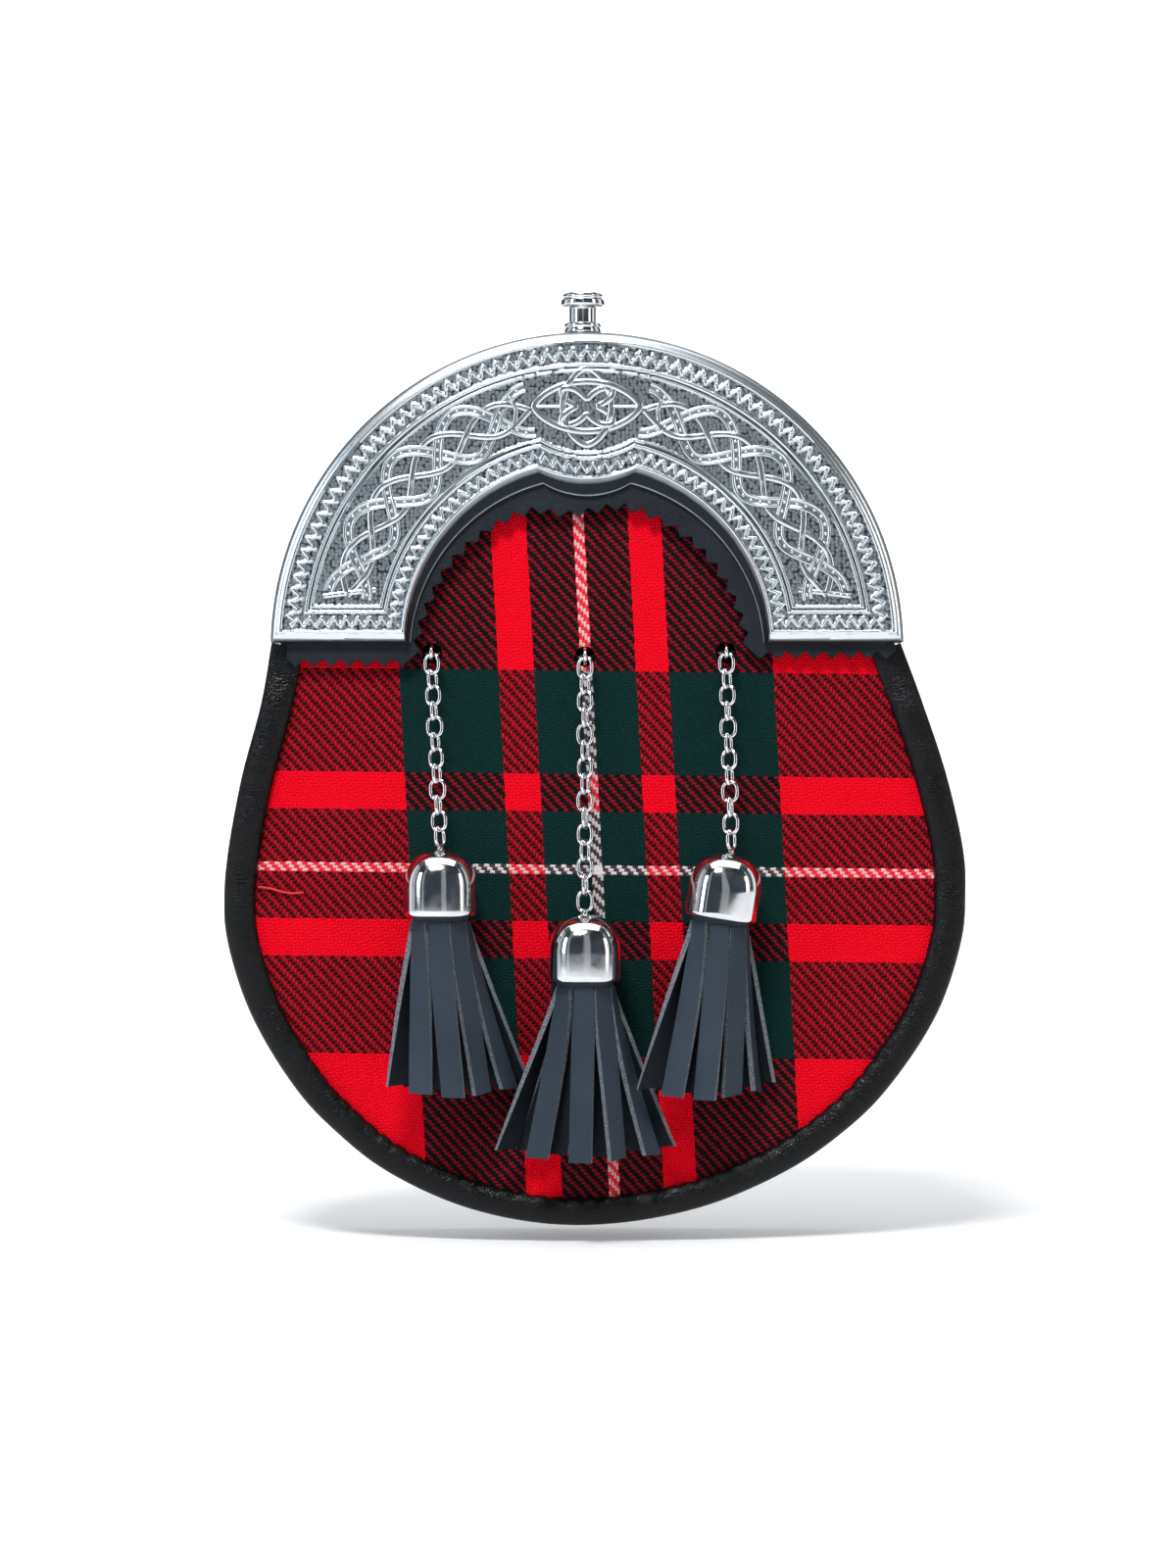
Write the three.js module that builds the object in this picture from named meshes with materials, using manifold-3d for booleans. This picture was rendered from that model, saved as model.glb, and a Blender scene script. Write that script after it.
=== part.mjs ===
// A dress sporran pouch: a cast metal cantle over a tartan face, a rolled leather edge, a folding gusset,
// and three chains that carry leather tassels under polished bells.
// Millimetres, +Z up, face towards -Y. The origin is on the back panel's outer plane, midway between the two
// strap loops, level with the base of the cantle.

import * as THREE from 'three';
import { mergeVertices } from 'three/addons/utils/BufferGeometryUtils.js';
import Module from 'manifold-3d';

const wasm = await Module();
wasm.setup();

// Sizes.

const GAP = 0.3; // clearance between separate pieces
const LEATHER = 1.5; // gusset and rolled edge
const BACK_LEATHER = 2;
const FACE_BOARD = 3; // tartan on its leather backing
const TRIM_LEATHER = 1.3;
const LOOP_LEATHER = 2;

const CANTLE_RADIUS = 79; // outer arc
const CANTLE_DROP = 1.7; // the arc's centre lies this far below the base line
const CANTLE_PLATE = 2; // cast plate from its back to the chased ground
const CANTLE_SIDE = 0.9; // upright edge below the bevel
const CANTLE_BEVEL = 2;
const CANTLE_RELIEF = 0.6;
const SKIRT_WALL = 2;
const SKIRT_DEPTH = 10.3; // behind the plate
const ARCH_RADIUS = 44.2; // edge of the opening where it meets the trim
const ARCH_DROP = 3.3;
const LOBE_RADIUS = 20.7; // the lobe that hangs in the middle of the opening
const LOBE_BOTTOM = 36.5;
const ARCH_FACE_RADIUS = 45.6; // the same edge on the chased face
const ARCH_FACE_DROP = 0.7;
const LOBE_FACE_RADIUS = 29;
const LOBE_FACE_BOTTOM = 40.4;
const RIDGE = 0.8; // width of a border ridge
const OUTER_BAND = 5.4; // zigzag band along the outer arc and the feet
const INNER_BAND = 4.4; // zigzag band along the opening
const FIELD_RIDGE = 1;

const KNOT_STRAP = 1.7;
const KNOT_HEIGHT = 0.5;
const KNOT_SWAY = 5.6; // strap centre line either side of the field's middle
const KNOT_WAVES = 2.5;
const KNOT_TOP = 76; // degrees from the base line where a side knot ends beside the oval
const KNOT_FOOT = 13; // degrees where it starts in the foot
const OVAL_WIDTH = 25;
const OVAL_HEIGHT = 15.5;

const KNOB_DIAMETER = 11.5;
const KNOB_HEAD = 3.7;
const KNOB_NECK = 7;
const KNOB_RISE = 10.5; // top of the head above the cantle
const KNOB_FLANGE = 9.4;
const KNOB_FLANGE_THICKNESS = 1.5;
const KNOB_TRAVEL = 3;
const KNOB_OFFSET = -1.1;
const COLLAR_DIAMETER = 9.6;
const COLLAR_HEIGHT = 2.6;

const FRAME_DEPTH = 6.7; // back frame
const FRAME_WALL = 1.6;
const FRAME_FLANGE = 10.2;
const FRAME_INSET = 0.8; // inside the cantle's outer arc
const HINGE_PIN = 2.4;
const HINGE_HEIGHT = 4.5;
const HINGE_HEAD = 4;
const HINGE_HEAD_THICKNESS = 0.8;
const EAR_THICKNESS = 1.8;
const EAR_HEIGHT = 9;

const POUCH_HALF_WIDTH = 92.8;
const POUCH_DROP = 145.9;
const BACK_LEAN = 5.2; // degrees
const EDGE_WIDTH = 8;
const EDGE_WIDTH_BOTTOM = 6.9;
const EDGE_CROWN = 2.6; // roll above the face at its fullest
const EDGE_BACK_LEG = 6;
const FACE_START = 2.2; // the face takes the pouch's outline this far below the base line
const GUSSET_INSET = 2.5;
const GUSSET_FOLD = 0.3; // share of the depth that the fold tucks in
const FACE_TOP = 60; // hidden top of the face behind the cantle
const FACE_TOP_CLEARANCE = 3.5; // to the inside of the skirt

const TRIM_RADIUS = 40.2; // pinked arch
const TRIM_ARCH_SHIFT = -1.9;
const TRIM_ARCH_DROP = 6.5;
const TRIM_LEFT_END = 75;
const TRIM_RIGHT_END = 77;
const TRIM_LEFT_HANG = 4.2; // below the cantle's base, without the teeth
const TRIM_RIGHT_HANG = 2.2;
const TOOTH_PITCH = 4.7;
const TOOTH_DEPTH = 2;

const EYELET = 5.4; // chain holes in the face
const LEFT_HOLE_INSIDE = 3.2; // from the trim's arch to the middle of the hole
const RIGHT_HOLE_INSIDE = 3.5;
const WIRE = 0.9;
const LINK_WIDTH = 4.6;
const LINK_WELD = 0.12; // links meet with this overlap
const LINK_TURN = 24; // degrees that a link may twist out of square
const STAPLE_LENGTH = 10.2;
const STAPLE_WIDTH = 4.4;
const BAR_DIAMETER = 1.4;
const BAR_LENGTH = 9;
const STEM_DIAMETER = 1.6;
const BELL_BAR_LENGTH = 6;

const BELL_DIAMETER = 18.1;
const BELL_HEIGHT = 16.5;
const BELL_WALL = 1.2;
const BELL_HOLE = 3;
const TASSEL_HEAD = 14.2;
const TASSEL_HEAD_BELOW = 3; // head below the bell's rim, where the slits start
const STRIP_WIDTH = 6.2;
const STRIP_THICKNESS = 1.3;
const STRIP_LENGTH = 44.5; // below the rim
const TASSEL_DEPTH = 15;

const LOOP_SPACING = 90;
const LOOP_WIDTH = 15;
const LOOP_OPENING = 27; // for a 25 mm strap
const LOOP_CLEAR = 6;
const LOOP_FOOT = 8;
const BACK_KINK = LOOP_OPENING / 2 + LOOP_FOOT + 1; // the back panel leans out below the loops

// Depths, from the back to the front.
const FRAME_BACK = -BACK_LEATHER - GAP;
const FRAME_FRONT = FRAME_BACK - FRAME_DEPTH;
const SKIRT_BACK = FRAME_FRONT - GAP;
const PLATE_BACK = SKIRT_BACK - SKIRT_DEPTH;
const PLATE_GROUND = PLATE_BACK - CANTLE_PLATE - CANTLE_BEVEL * 0.2;
const faceTopRadius = CANTLE_RADIUS - SKIRT_WALL - FACE_TOP_CLEARANCE;
const TRIM_FRONT = PLATE_BACK + GAP;
const TRIM_BACK = TRIM_FRONT + TRIM_LEATHER;
const FACE_FRONT = TRIM_BACK + GAP + LEATHER;
const FACE_BACK = FACE_FRONT + FACE_BOARD;
const EDGE_BACK = FACE_BACK + GAP + LEATHER;
const BELL_AXIS = FACE_FRONT - GAP - BELL_DIAMETER / 2;

// Pouch outline below the base line: depth as a share of POUCH_DROP, half widths of POUCH_HALF_WIDTH.
const POUCH_ROWS = [
  { down: 0, left: 0.852, right: 0.847 },
  { down: 0.1, left: 0.879, right: 0.905 },
  { down: 0.234, left: 0.934, right: 0.974 },
  { down: 0.369, left: 0.972, right: 1.019 },
  { down: 0.436, left: 0.98, right: 1.022 },
  { down: 0.503, left: 0.974, right: 1.014 },
  { down: 0.637, left: 0.908, right: 0.945 },
  { down: 0.772, left: 0.779, right: 0.803 },
  { down: 0.839, left: 0.679, right: 0.694 },
  { down: 0.906, left: 0.544, right: 0.541 },
  { down: 0.973, left: 0.309, right: 0.286 },
];
const POUCH_LOWEST = -0.03;

// One row for each strip: where it leaves the head (degrees), where it ends (shares of the tassel's half
// spread and depth), which way its face looks there (degrees), its length and its ring on the head as shares.
const STRIP_ROWS = [
  { turn: -92, side: -0.06, front: 0.98, face: -94, length: 1, ring: 1 },
  { turn: -52, side: 0.38, front: 0.84, face: -62, length: 0.985, ring: 1 },
  { turn: -12, side: 0.8, front: 0.56, face: -28, length: 0.97, ring: 1 },
  { turn: 32, side: 0.97, front: 0.34, face: 62, length: 0.93, ring: 1 },
  { turn: 82, side: 0.35, front: 0.06, face: 88, length: 0.97, ring: 1 },
  { turn: 122, side: -0.4, front: 0.06, face: 93, length: 0.98, ring: 1 },
  { turn: 176, side: -0.96, front: 0.4, face: 128, length: 0.94, ring: 1 },
  { turn: 222, side: -0.58, front: 0.8, face: 236, length: 0.98, ring: 1 },
  { turn: -122, side: -0.3, front: 0.6, face: -116, length: 0.96, ring: 0.55 },
  { turn: -34, side: 0.16, front: 0.52, face: -74, length: 0.975, ring: 0.55 },
  { turn: 48, side: 0.66, front: 0.3, face: 62, length: 0.95, ring: 0.55 },
  { turn: 150, side: -0.7, front: 0.22, face: 104, length: 0.955, ring: 0.55 },
];

// The three drops: hole in the face, top of the bell, number of links, lean of the bell (degrees), middle and
// half width of the tassel's end, and how far its right-hand strips swing back towards the face.
const DROPS = [
  {
    side: 'left',
    holeX: TRIM_ARCH_SHIFT - TRIM_RADIUS + LEFT_HOLE_INSIDE,
    holeZ: -2.6,
    bellX: -36.4,
    bellZ: -51.6,
    links: 12,
    lean: 0,
    endX: -31.9,
    spread: 15.6,
    swing: 0.26,
  },
  {
    side: 'middle',
    holeX: -0.5,
    holeZ: -3.4,
    bellX: -0.5,
    bellZ: -67.7,
    links: 15,
    lean: 0,
    endX: -0.4,
    spread: 20.6,
    swing: 0,
  },
  {
    side: 'right',
    holeX: TRIM_ARCH_SHIFT + TRIM_RADIUS - RIGHT_HOLE_INSIDE,
    holeZ: -2.4,
    bellX: 35.7,
    bellZ: -52.4,
    links: 12,
    lean: -9,
    endX: 29.9,
    spread: 15.4,
    swing: 0.44,
  },
];

const ARC_STEPS = 22;
const ROUND_STEPS = 12;
const EDGE_STEPS = 28;

// Materials.

const metal = (color, roughness) => new THREE.MeshStandardMaterial({ color, roughness, metalness: 1 });
const cloth = (color, roughness) => new THREE.MeshStandardMaterial({ color, roughness, metalness: 0 });
const CAST_METAL = metal(0xb9bec2, 0.3);
const CHROME = metal(0xd5d8da, 0.12);
const FRAME_METAL = metal(0x9a9da0, 0.4);
const TARTAN = cloth(0x8c1018, 0.9);
const EDGE_BLACK = cloth(0x15181b, 0.45);
const BODY_BLACK = cloth(0x1b1c1f, 0.6);
const SLATE = cloth(0x3a4450, 0.6);
const TRIM_GREY = cloth(0x3c434d, 0.7);

// Solids.

const radians = THREE.MathUtils.degToRad;
const at = (x, y, z) => new THREE.Vector3(x, y, z);

function bodyOf(points, faces) {
  let volume = 0;
  for (const [a, b, c] of faces) {
    volume += points[a].dot(new THREE.Vector3().crossVectors(points[b], points[c]));
  }
  const turned = volume < 0 ? faces.map(([a, b, c]) => [a, c, b]) : faces;
  const vertProperties = new Float32Array(points.flatMap((p) => [p.x, p.y, p.z]));
  const triVerts = new Uint32Array(turned.flat());
  return new wasm.Manifold(new wasm.Mesh({ numProp: 3, vertProperties, triVerts }));
}

// Triangles over one flat ring, wound the same way as the ring.
function ringFaces(ring) {
  const normal = new THREE.Vector3();
  ring.forEach((p, i) => normal.add(new THREE.Vector3().crossVectors(p, ring[(i + 1) % ring.length])));
  const size = [Math.abs(normal.x), Math.abs(normal.y), Math.abs(normal.z)];
  const drop = size.indexOf(Math.max(...size));
  const flat = ring.map((p) => {
    if (drop === 0) return new THREE.Vector2(p.y, p.z);
    return drop === 1 ? new THREE.Vector2(p.z, p.x) : new THREE.Vector2(p.x, p.y);
  });
  const sign = Math.sign(THREE.ShapeUtils.area(flat));
  return THREE.ShapeUtils.triangulateShape(flat, []).map(([a, b, c]) => {
    const same = Math.sign(THREE.ShapeUtils.area([flat[a], flat[b], flat[c]])) === sign;
    return same ? [a, b, c] : [a, c, b];
  });
}

// A body through rings with equally many points. It is capped at both ends, or runs round into itself.
function loft(rings, closed = false) {
  const count = rings[0].length;
  const faces = [];
  const steps = closed ? rings.length : rings.length - 1;
  for (let i = 0; i < steps; i++) {
    const a = i * count;
    const b = ((i + 1) % rings.length) * count;
    for (let j = 0; j < count; j++) {
      const k = (j + 1) % count;
      faces.push([a + j, a + k, b + k], [a + j, b + k, b + j]);
    }
  }
  if (!closed) {
    const end = (rings.length - 1) * count;
    ringFaces(rings[0]).forEach(([a, b, c]) => faces.push([a, c, b]));
    ringFaces(rings[rings.length - 1]).forEach(([a, b, c]) => faces.push([end + a, end + b, end + c]));
  }
  return bodyOf(rings.flat(), faces);
}

function bodyFrom(geometry) {
  geometry.deleteAttribute('normal');
  geometry.deleteAttribute('uv');
  const merged = mergeVertices(geometry, 1e-4);
  const place = merged.getAttribute('position');
  const points = [];
  for (let i = 0; i < place.count; i++) {
    points.push(new THREE.Vector3().fromBufferAttribute(place, i));
  }
  const faces = [];
  for (let i = 0; i < merged.index.count; i += 3) {
    const face = [0, 1, 2].map((k) => merged.index.getX(i + k));
    if (new Set(face).size === 3) faces.push(face);
  }
  return bodyOf(points, faces);
}

const joined = (bodies) => bodies.reduce((sum, body) => sum.add(body));
const cutBy = (body, cutters) => cutters.reduce((rest, cutter) => rest.subtract(cutter), body);

function meshOf(name, body, material) {
  const { vertProperties, triVerts } = body.getMesh();
  const geometry = new THREE.BufferGeometry();
  geometry.setAttribute('position', new THREE.BufferAttribute(new Float32Array(vertProperties), 3));
  geometry.setIndex(new THREE.BufferAttribute(new Uint32Array(triVerts), 1));
  geometry.computeVertexNormals();
  const mesh = new THREE.Mesh(geometry, material);
  mesh.name = name;
  return mesh;
}

// A plate over an outline of [x, z] points, between two depths.
function plate(outline, back, front, holes = []) {
  const shape = new THREE.Shape(outline.map(([x, z]) => new THREE.Vector2(x, z)));
  holes.forEach((hole) => shape.holes.push(new THREE.Path(hole.map(([x, z]) => new THREE.Vector2(x, z)))));
  const geometry = new THREE.ExtrudeGeometry(shape, { depth: back - front, bevelEnabled: false });
  geometry.rotateX(Math.PI / 2);
  geometry.translate(0, back, 0);
  return bodyFrom(geometry);
}

// A round body about +Z from [radius, height] pairs.
function turned(profile, sides) {
  const line = profile.map(([r, z]) => new THREE.Vector2(r, z));
  return bodyFrom(new THREE.LatheGeometry(line, sides).rotateX(Math.PI / 2));
}

function rod(from, to, diameter, sides = 6) {
  const along = new THREE.Vector3().subVectors(to, from);
  const geometry = new THREE.CylinderGeometry(diameter / 2, diameter / 2, along.length(), sides);
  const turn = new THREE.Quaternion().setFromUnitVectors(at(0, 1, 0), along.clone().normalize());
  geometry.applyQuaternion(turn);
  geometry.translate(...from.clone().add(to).multiplyScalar(0.5).toArray());
  return bodyFrom(geometry);
}

function block(low, high) {
  const geometry = new THREE.BoxGeometry(...high.map((v, i) => v - low[i]));
  geometry.translate(...high.map((v, i) => (v + low[i]) / 2));
  return bodyFrom(geometry);
}

function circle(x, z, radius, sides) {
  return Array.from({ length: sides }, (_, i) => {
    const angle = (2 * Math.PI * (i + 0.5)) / sides;
    return [x + radius * Math.cos(angle), z + radius * Math.sin(angle)];
  });
}

// Cantle.

// The cantle's outline as [x, z] points: outer arc, left foot, opening with its lobe, right foot.
function cantleLoop(edge) {
  const { outer, foot, archRadius, archDrop, lobeRadius, lobeBottom } = edge;
  const points = [];
  const radius = CANTLE_RADIUS - outer;
  const start = Math.asin((foot + CANTLE_DROP) / radius);
  for (let i = 0; i <= ARC_STEPS; i++) {
    const angle = start + ((Math.PI - 2 * start) * i) / ARC_STEPS;
    points.push([radius * Math.cos(angle), radius * Math.sin(angle) - CANTLE_DROP]);
  }
  const lobeCentre = lobeBottom + lobeRadius;
  const cuspZ =
    (archRadius ** 2 - archDrop ** 2 - lobeRadius ** 2 + lobeCentre ** 2) / (2 * (lobeCentre + archDrop));
  const cuspX = Math.sqrt(archRadius ** 2 - (cuspZ + archDrop) ** 2);
  const low = Math.asin((foot + archDrop) / archRadius);
  const high = Math.atan2(cuspZ + archDrop, cuspX);
  const lobeHalf = Math.asin(cuspX / lobeRadius);
  const archSteps = 8;
  const lobeSteps = 5;
  for (let i = 0; i <= archSteps; i++) {
    const angle = low + ((high - low) * i) / archSteps;
    points.push([-archRadius * Math.cos(angle), archRadius * Math.sin(angle) - archDrop]);
  }
  for (let i = 1; i < lobeSteps; i++) {
    const angle = -lobeHalf + (2 * lobeHalf * i) / lobeSteps;
    points.push([lobeRadius * Math.sin(angle), lobeCentre - lobeRadius * Math.cos(angle)]);
  }
  for (let i = archSteps; i >= 0; i--) {
    const angle = low + ((high - low) * i) / archSteps;
    points.push([archRadius * Math.cos(angle), archRadius * Math.sin(angle) - archDrop]);
  }
  return points;
}

const baseEdge = {
  outer: 0,
  foot: 0,
  archRadius: ARCH_RADIUS,
  archDrop: ARCH_DROP,
  lobeRadius: LOBE_RADIUS,
  lobeBottom: LOBE_BOTTOM,
};

// The edge of the chased face, moved in by one amount on the outside and feet and by another at the opening.
const faceEdge = (out, inn) => ({
  outer: CANTLE_BEVEL + out,
  foot: CANTLE_BEVEL + out,
  archRadius: ARCH_FACE_RADIUS + inn,
  archDrop: ARCH_FACE_DROP,
  lobeRadius: LOBE_FACE_RADIUS - inn,
  lobeBottom: LOBE_FACE_BOTTOM + inn,
});

const ringAt = (edge, y) => cantleLoop(edge).map(([x, z]) => at(x, y, z));

function borderRidge(outFrom, innFrom, width) {
  const root = PLATE_GROUND + 0.4;
  const top = PLATE_GROUND - CANTLE_RELIEF;
  const near = faceEdge(outFrom, innFrom);
  const far = faceEdge(outFrom + width, innFrom + width);
  return loft([ringAt(near, root), ringAt(near, top), ringAt(far, top), ringAt(far, root)], true);
}

// A raised strap of even width along a line of [x, z] points.
function strap(line, closed = false) {
  const root = PLATE_GROUND + 0.4;
  const top = PLATE_GROUND - KNOT_HEIGHT;
  const rings = line.map(([x, z], i) => {
    const before = line[closed ? (i + line.length - 1) % line.length : Math.max(i - 1, 0)];
    const after = line[closed ? (i + 1) % line.length : Math.min(i + 1, line.length - 1)];
    const along = new THREE.Vector2(after[0] - before[0], after[1] - before[1]).normalize();
    const aside = [(-along.y * KNOT_STRAP) / 2, (along.x * KNOT_STRAP) / 2];
    return [
      at(x - aside[0], root, z - aside[1]),
      at(x + aside[0], root, z + aside[1]),
      at(x + aside[0], top, z + aside[1]),
      at(x - aside[0], top, z - aside[1]),
    ];
  });
  return loft(rings, closed);
}

const fieldOuter = CANTLE_RADIUS - CANTLE_BEVEL - RIDGE - OUTER_BAND - FIELD_RIDGE;
const fieldInner = ARCH_FACE_RADIUS + RIDGE + INNER_BAND + FIELD_RIDGE;
const fieldMiddle = (fieldOuter + fieldInner) / 2;

// Two straps weave along the field between the foot and the oval, and meet at both ends.
function sideKnot(mirror) {
  const steps = 15;
  return [1, -1].map((phase) => {
    const line = [];
    for (let i = 0; i <= steps; i++) {
      const share = i / steps;
      const angle = radians(KNOT_FOOT + (KNOT_TOP - KNOT_FOOT) * share);
      const swell = Math.min(1, 0.45 + share * 1.6) * KNOT_SWAY;
      const radius = fieldMiddle + phase * swell * Math.sin(Math.PI * 2 * KNOT_WAVES * share);
      line.push([mirror * radius * Math.cos(angle), radius * Math.sin(angle) - CANTLE_DROP]);
    }
    return strap(line);
  });
}

function ovalKnot() {
  const centre = fieldMiddle - CANTLE_DROP + 0.6;
  const round = (width, height, count) =>
    Array.from({ length: count }, (_, i) => {
      const angle = (2 * Math.PI * i) / count;
      return [(width / 2) * Math.cos(angle), centre + (height / 2) * Math.sin(angle)];
    });
  const cross = [1, -1].map((lean) =>
    Array.from({ length: 5 }, (_, i) => {
      const share = i / 2 - 1;
      return [share * OVAL_WIDTH * 0.36, centre + lean * share * OVAL_HEIGHT * 0.3 * (1.6 - share * share)];
    }),
  );
  return [strap(round(OVAL_WIDTH, OVAL_HEIGHT, 14), true), ...cross.map((line) => strap(line))];
}

const knobDepth = (PLATE_BACK + SKIRT_BACK) / 2;
const knobHole = KNOB_NECK + 2 * GAP;
const cantleTop = CANTLE_RADIUS - CANTLE_DROP;
const flangeTop = cantleTop - SKIRT_WALL - GAP - 0.2;

// Half ring behind the plate, open below at the feet.
function skirt() {
  const rings = [];
  for (let i = 0; i <= ARC_STEPS; i++) {
    const start = Math.asin(CANTLE_DROP / CANTLE_RADIUS);
    const angle = start + ((Math.PI - 2 * start) * i) / ARC_STEPS;
    const inner = CANTLE_RADIUS - SKIRT_WALL;
    const reach = (radius) => [radius * Math.cos(angle), radius * Math.sin(angle) - CANTLE_DROP];
    const [ox, oz] = reach(CANTLE_RADIUS);
    const [ix, iz] = reach(inner);
    const front = PLATE_BACK - CANTLE_SIDE / 2;
    rings.push([at(ox, SKIRT_BACK, oz), at(ox, front, oz), at(ix, front, iz), at(ix, SKIRT_BACK, iz)]);
  }
  return loft(rings);
}

const hingeY = FRAME_FRONT + HINGE_PIN;
const frameRadius = CANTLE_RADIUS - FRAME_INSET;
const frameInside = Math.sqrt((frameRadius - FRAME_WALL) ** 2 - (EAR_HEIGHT + CANTLE_DROP) ** 2);
const earOuter = frameInside - GAP;
const earInner = earOuter - EAR_THICKNESS;

function hingeEar(mirror) {
  const across = (near, far) => (mirror > 0 ? [near, far] : [-far, -near]);
  const [armLow, armHigh] = across(earInner, CANTLE_RADIUS - SKIRT_WALL + 0.3);
  const [earLow, earHigh] = across(earInner, earOuter);
  const reach = FRAME_BACK - FRAME_WALL - GAP;
  return [
    block([armLow, SKIRT_BACK - 3, GAP], [armHigh, SKIRT_BACK - GAP, EAR_HEIGHT]),
    block([earLow, SKIRT_BACK - 2, GAP], [earHigh, reach, EAR_HEIGHT]),
  ];
}

function hingeCut(mirror) {
  const inside = at(mirror * (earInner - 2), hingeY, HINGE_HEIGHT);
  const outside = at(mirror * (CANTLE_RADIUS + 10), hingeY, HINGE_HEIGHT);
  return rod(inside, outside, HINGE_PIN + 2 * GAP);
}

function cantle() {
  const casting = loft([
    ringAt(baseEdge, PLATE_BACK),
    ringAt(baseEdge, PLATE_BACK - CANTLE_SIDE),
    ringAt(faceEdge(0, 0), PLATE_GROUND),
  ]);
  const relief = [
    borderRidge(0, 0, RIDGE),
    borderRidge(RIDGE + OUTER_BAND, RIDGE + INNER_BAND, FIELD_RIDGE),
    ...sideKnot(1),
    ...sideKnot(-1),
    ...ovalKnot(),
  ];
  const whole = joined([casting, skirt(), ...relief, ...hingeEar(1), ...hingeEar(-1)]);
  const button = rod(
    at(KNOB_OFFSET, knobDepth, cantleTop - SKIRT_WALL - 4),
    at(KNOB_OFFSET, knobDepth, cantleTop + 4),
    knobHole,
    ROUND_STEPS,
  );
  return cutBy(whole, [button, hingeCut(1), hingeCut(-1)]);
}

// Clasp.

function knob() {
  const top = cantleTop + KNOB_RISE;
  const head = top - KNOB_HEAD;
  const r = KNOB_DIAMETER / 2;
  const neck = KNOB_NECK / 2;
  return turned(
    [
      [0, flangeTop - KNOB_FLANGE_THICKNESS],
      [KNOB_FLANGE / 2, flangeTop - KNOB_FLANGE_THICKNESS],
      [KNOB_FLANGE / 2, flangeTop],
      [neck, flangeTop],
      [neck, head - 0.4],
      [r * 0.84, head],
      [r, head + KNOB_HEAD * 0.16],
      [r, head + KNOB_HEAD * 0.5],
      [r * 0.9, head + KNOB_HEAD * 0.62],
      [r * 0.95, head + KNOB_HEAD * 0.78],
      [r * 0.84, top - KNOB_HEAD * 0.06],
      [0, top],
    ],
    ROUND_STEPS,
  ).translate([KNOB_OFFSET, knobDepth, 0]);
}

function collar() {
  const low = cantleTop + GAP;
  const outer = COLLAR_DIAMETER / 2;
  const hole = knobHole / 2;
  return turned(
    [
      [hole, low],
      [outer, low],
      [outer, low + COLLAR_HEIGHT * 0.6],
      [outer - 0.5, low + COLLAR_HEIGHT],
      [hole, low + COLLAR_HEIGHT],
      [hole, low],
    ],
    ROUND_STEPS,
  ).translate([KNOB_OFFSET, knobDepth, 0]);
}

// Frame and hinge pins.

function backFrame() {
  const rings = [];
  const start = Math.asin((CANTLE_DROP + GAP) / (frameRadius - FRAME_FLANGE));
  for (let i = 0; i <= ARC_STEPS; i++) {
    const angle = start + ((Math.PI - 2 * start) * i) / ARC_STEPS;
    const point = (radius, y) => at(radius * Math.cos(angle), y, radius * Math.sin(angle) - CANTLE_DROP);
    rings.push([
      point(frameRadius, FRAME_FRONT),
      point(frameRadius - FRAME_WALL, FRAME_FRONT),
      point(frameRadius - FRAME_WALL, FRAME_BACK - FRAME_WALL),
      point(frameRadius - FRAME_FLANGE, FRAME_BACK - FRAME_WALL),
      point(frameRadius - FRAME_FLANGE, FRAME_BACK),
      point(frameRadius, FRAME_BACK),
    ]);
  }
  return cutBy(loft(rings), [hingeCut(1), hingeCut(-1)]);
}

function hingePin(mirror) {
  const pin = HINGE_PIN / 2;
  const head = HINGE_HEAD / 2;
  const outside = Math.sqrt(frameRadius ** 2 - (HINGE_HEIGHT + CANTLE_DROP) ** 2) + GAP;
  const inside = earInner - GAP;
  const body = turned(
    [
      [0, inside - HINGE_HEAD_THICKNESS],
      [head, inside - HINGE_HEAD_THICKNESS],
      [head, inside],
      [pin, inside],
      [pin, outside],
      [head, outside],
      [head * 0.8, outside + HINGE_HEAD_THICKNESS],
      [0, outside + HINGE_HEAD_THICKNESS],
    ],
    6,
  );
  return body.rotate([0, 90, 0]).scale([mirror, 1, 1]).translate([0, hingeY, HINGE_HEIGHT]);
}

// Pouch.

const pouchCurve = new THREE.CatmullRomCurve3(
  [
    ...POUCH_ROWS.map((row) => at(-row.left * POUCH_HALF_WIDTH, 0, -row.down * POUCH_DROP)),
    at(POUCH_LOWEST * POUCH_HALF_WIDTH, 0, -POUCH_DROP),
    ...[...POUCH_ROWS].reverse().map((row) => at(row.right * POUCH_HALF_WIDTH, 0, -row.down * POUCH_DROP)),
  ],
  false,
  'centripetal',
);
pouchCurve.arcLengthDivisions = 800;
const pouchLength = pouchCurve.getLength();

// Stations along the outline from the left end of the base line, round the bottom, to the right end.
function pouchStations(start, steps = EDGE_STEPS) {
  return Array.from({ length: steps + 1 }, (_, i) => {
    const share = (start + ((pouchLength - 2 * start) * i) / steps) / pouchLength;
    const along = pouchCurve.getTangentAt(share);
    const point = pouchCurve.getPointAt(share);
    return { share, point, inward: at(-along.z, 0, along.x) };
  });
}

const inset = (station, distance, y) =>
  at(station.point.x + station.inward.x * distance, y, station.point.z + station.inward.z * distance);

const backOuter = (z) => Math.max(0, -z - BACK_KINK) * Math.tan(radians(BACK_LEAN));

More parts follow.
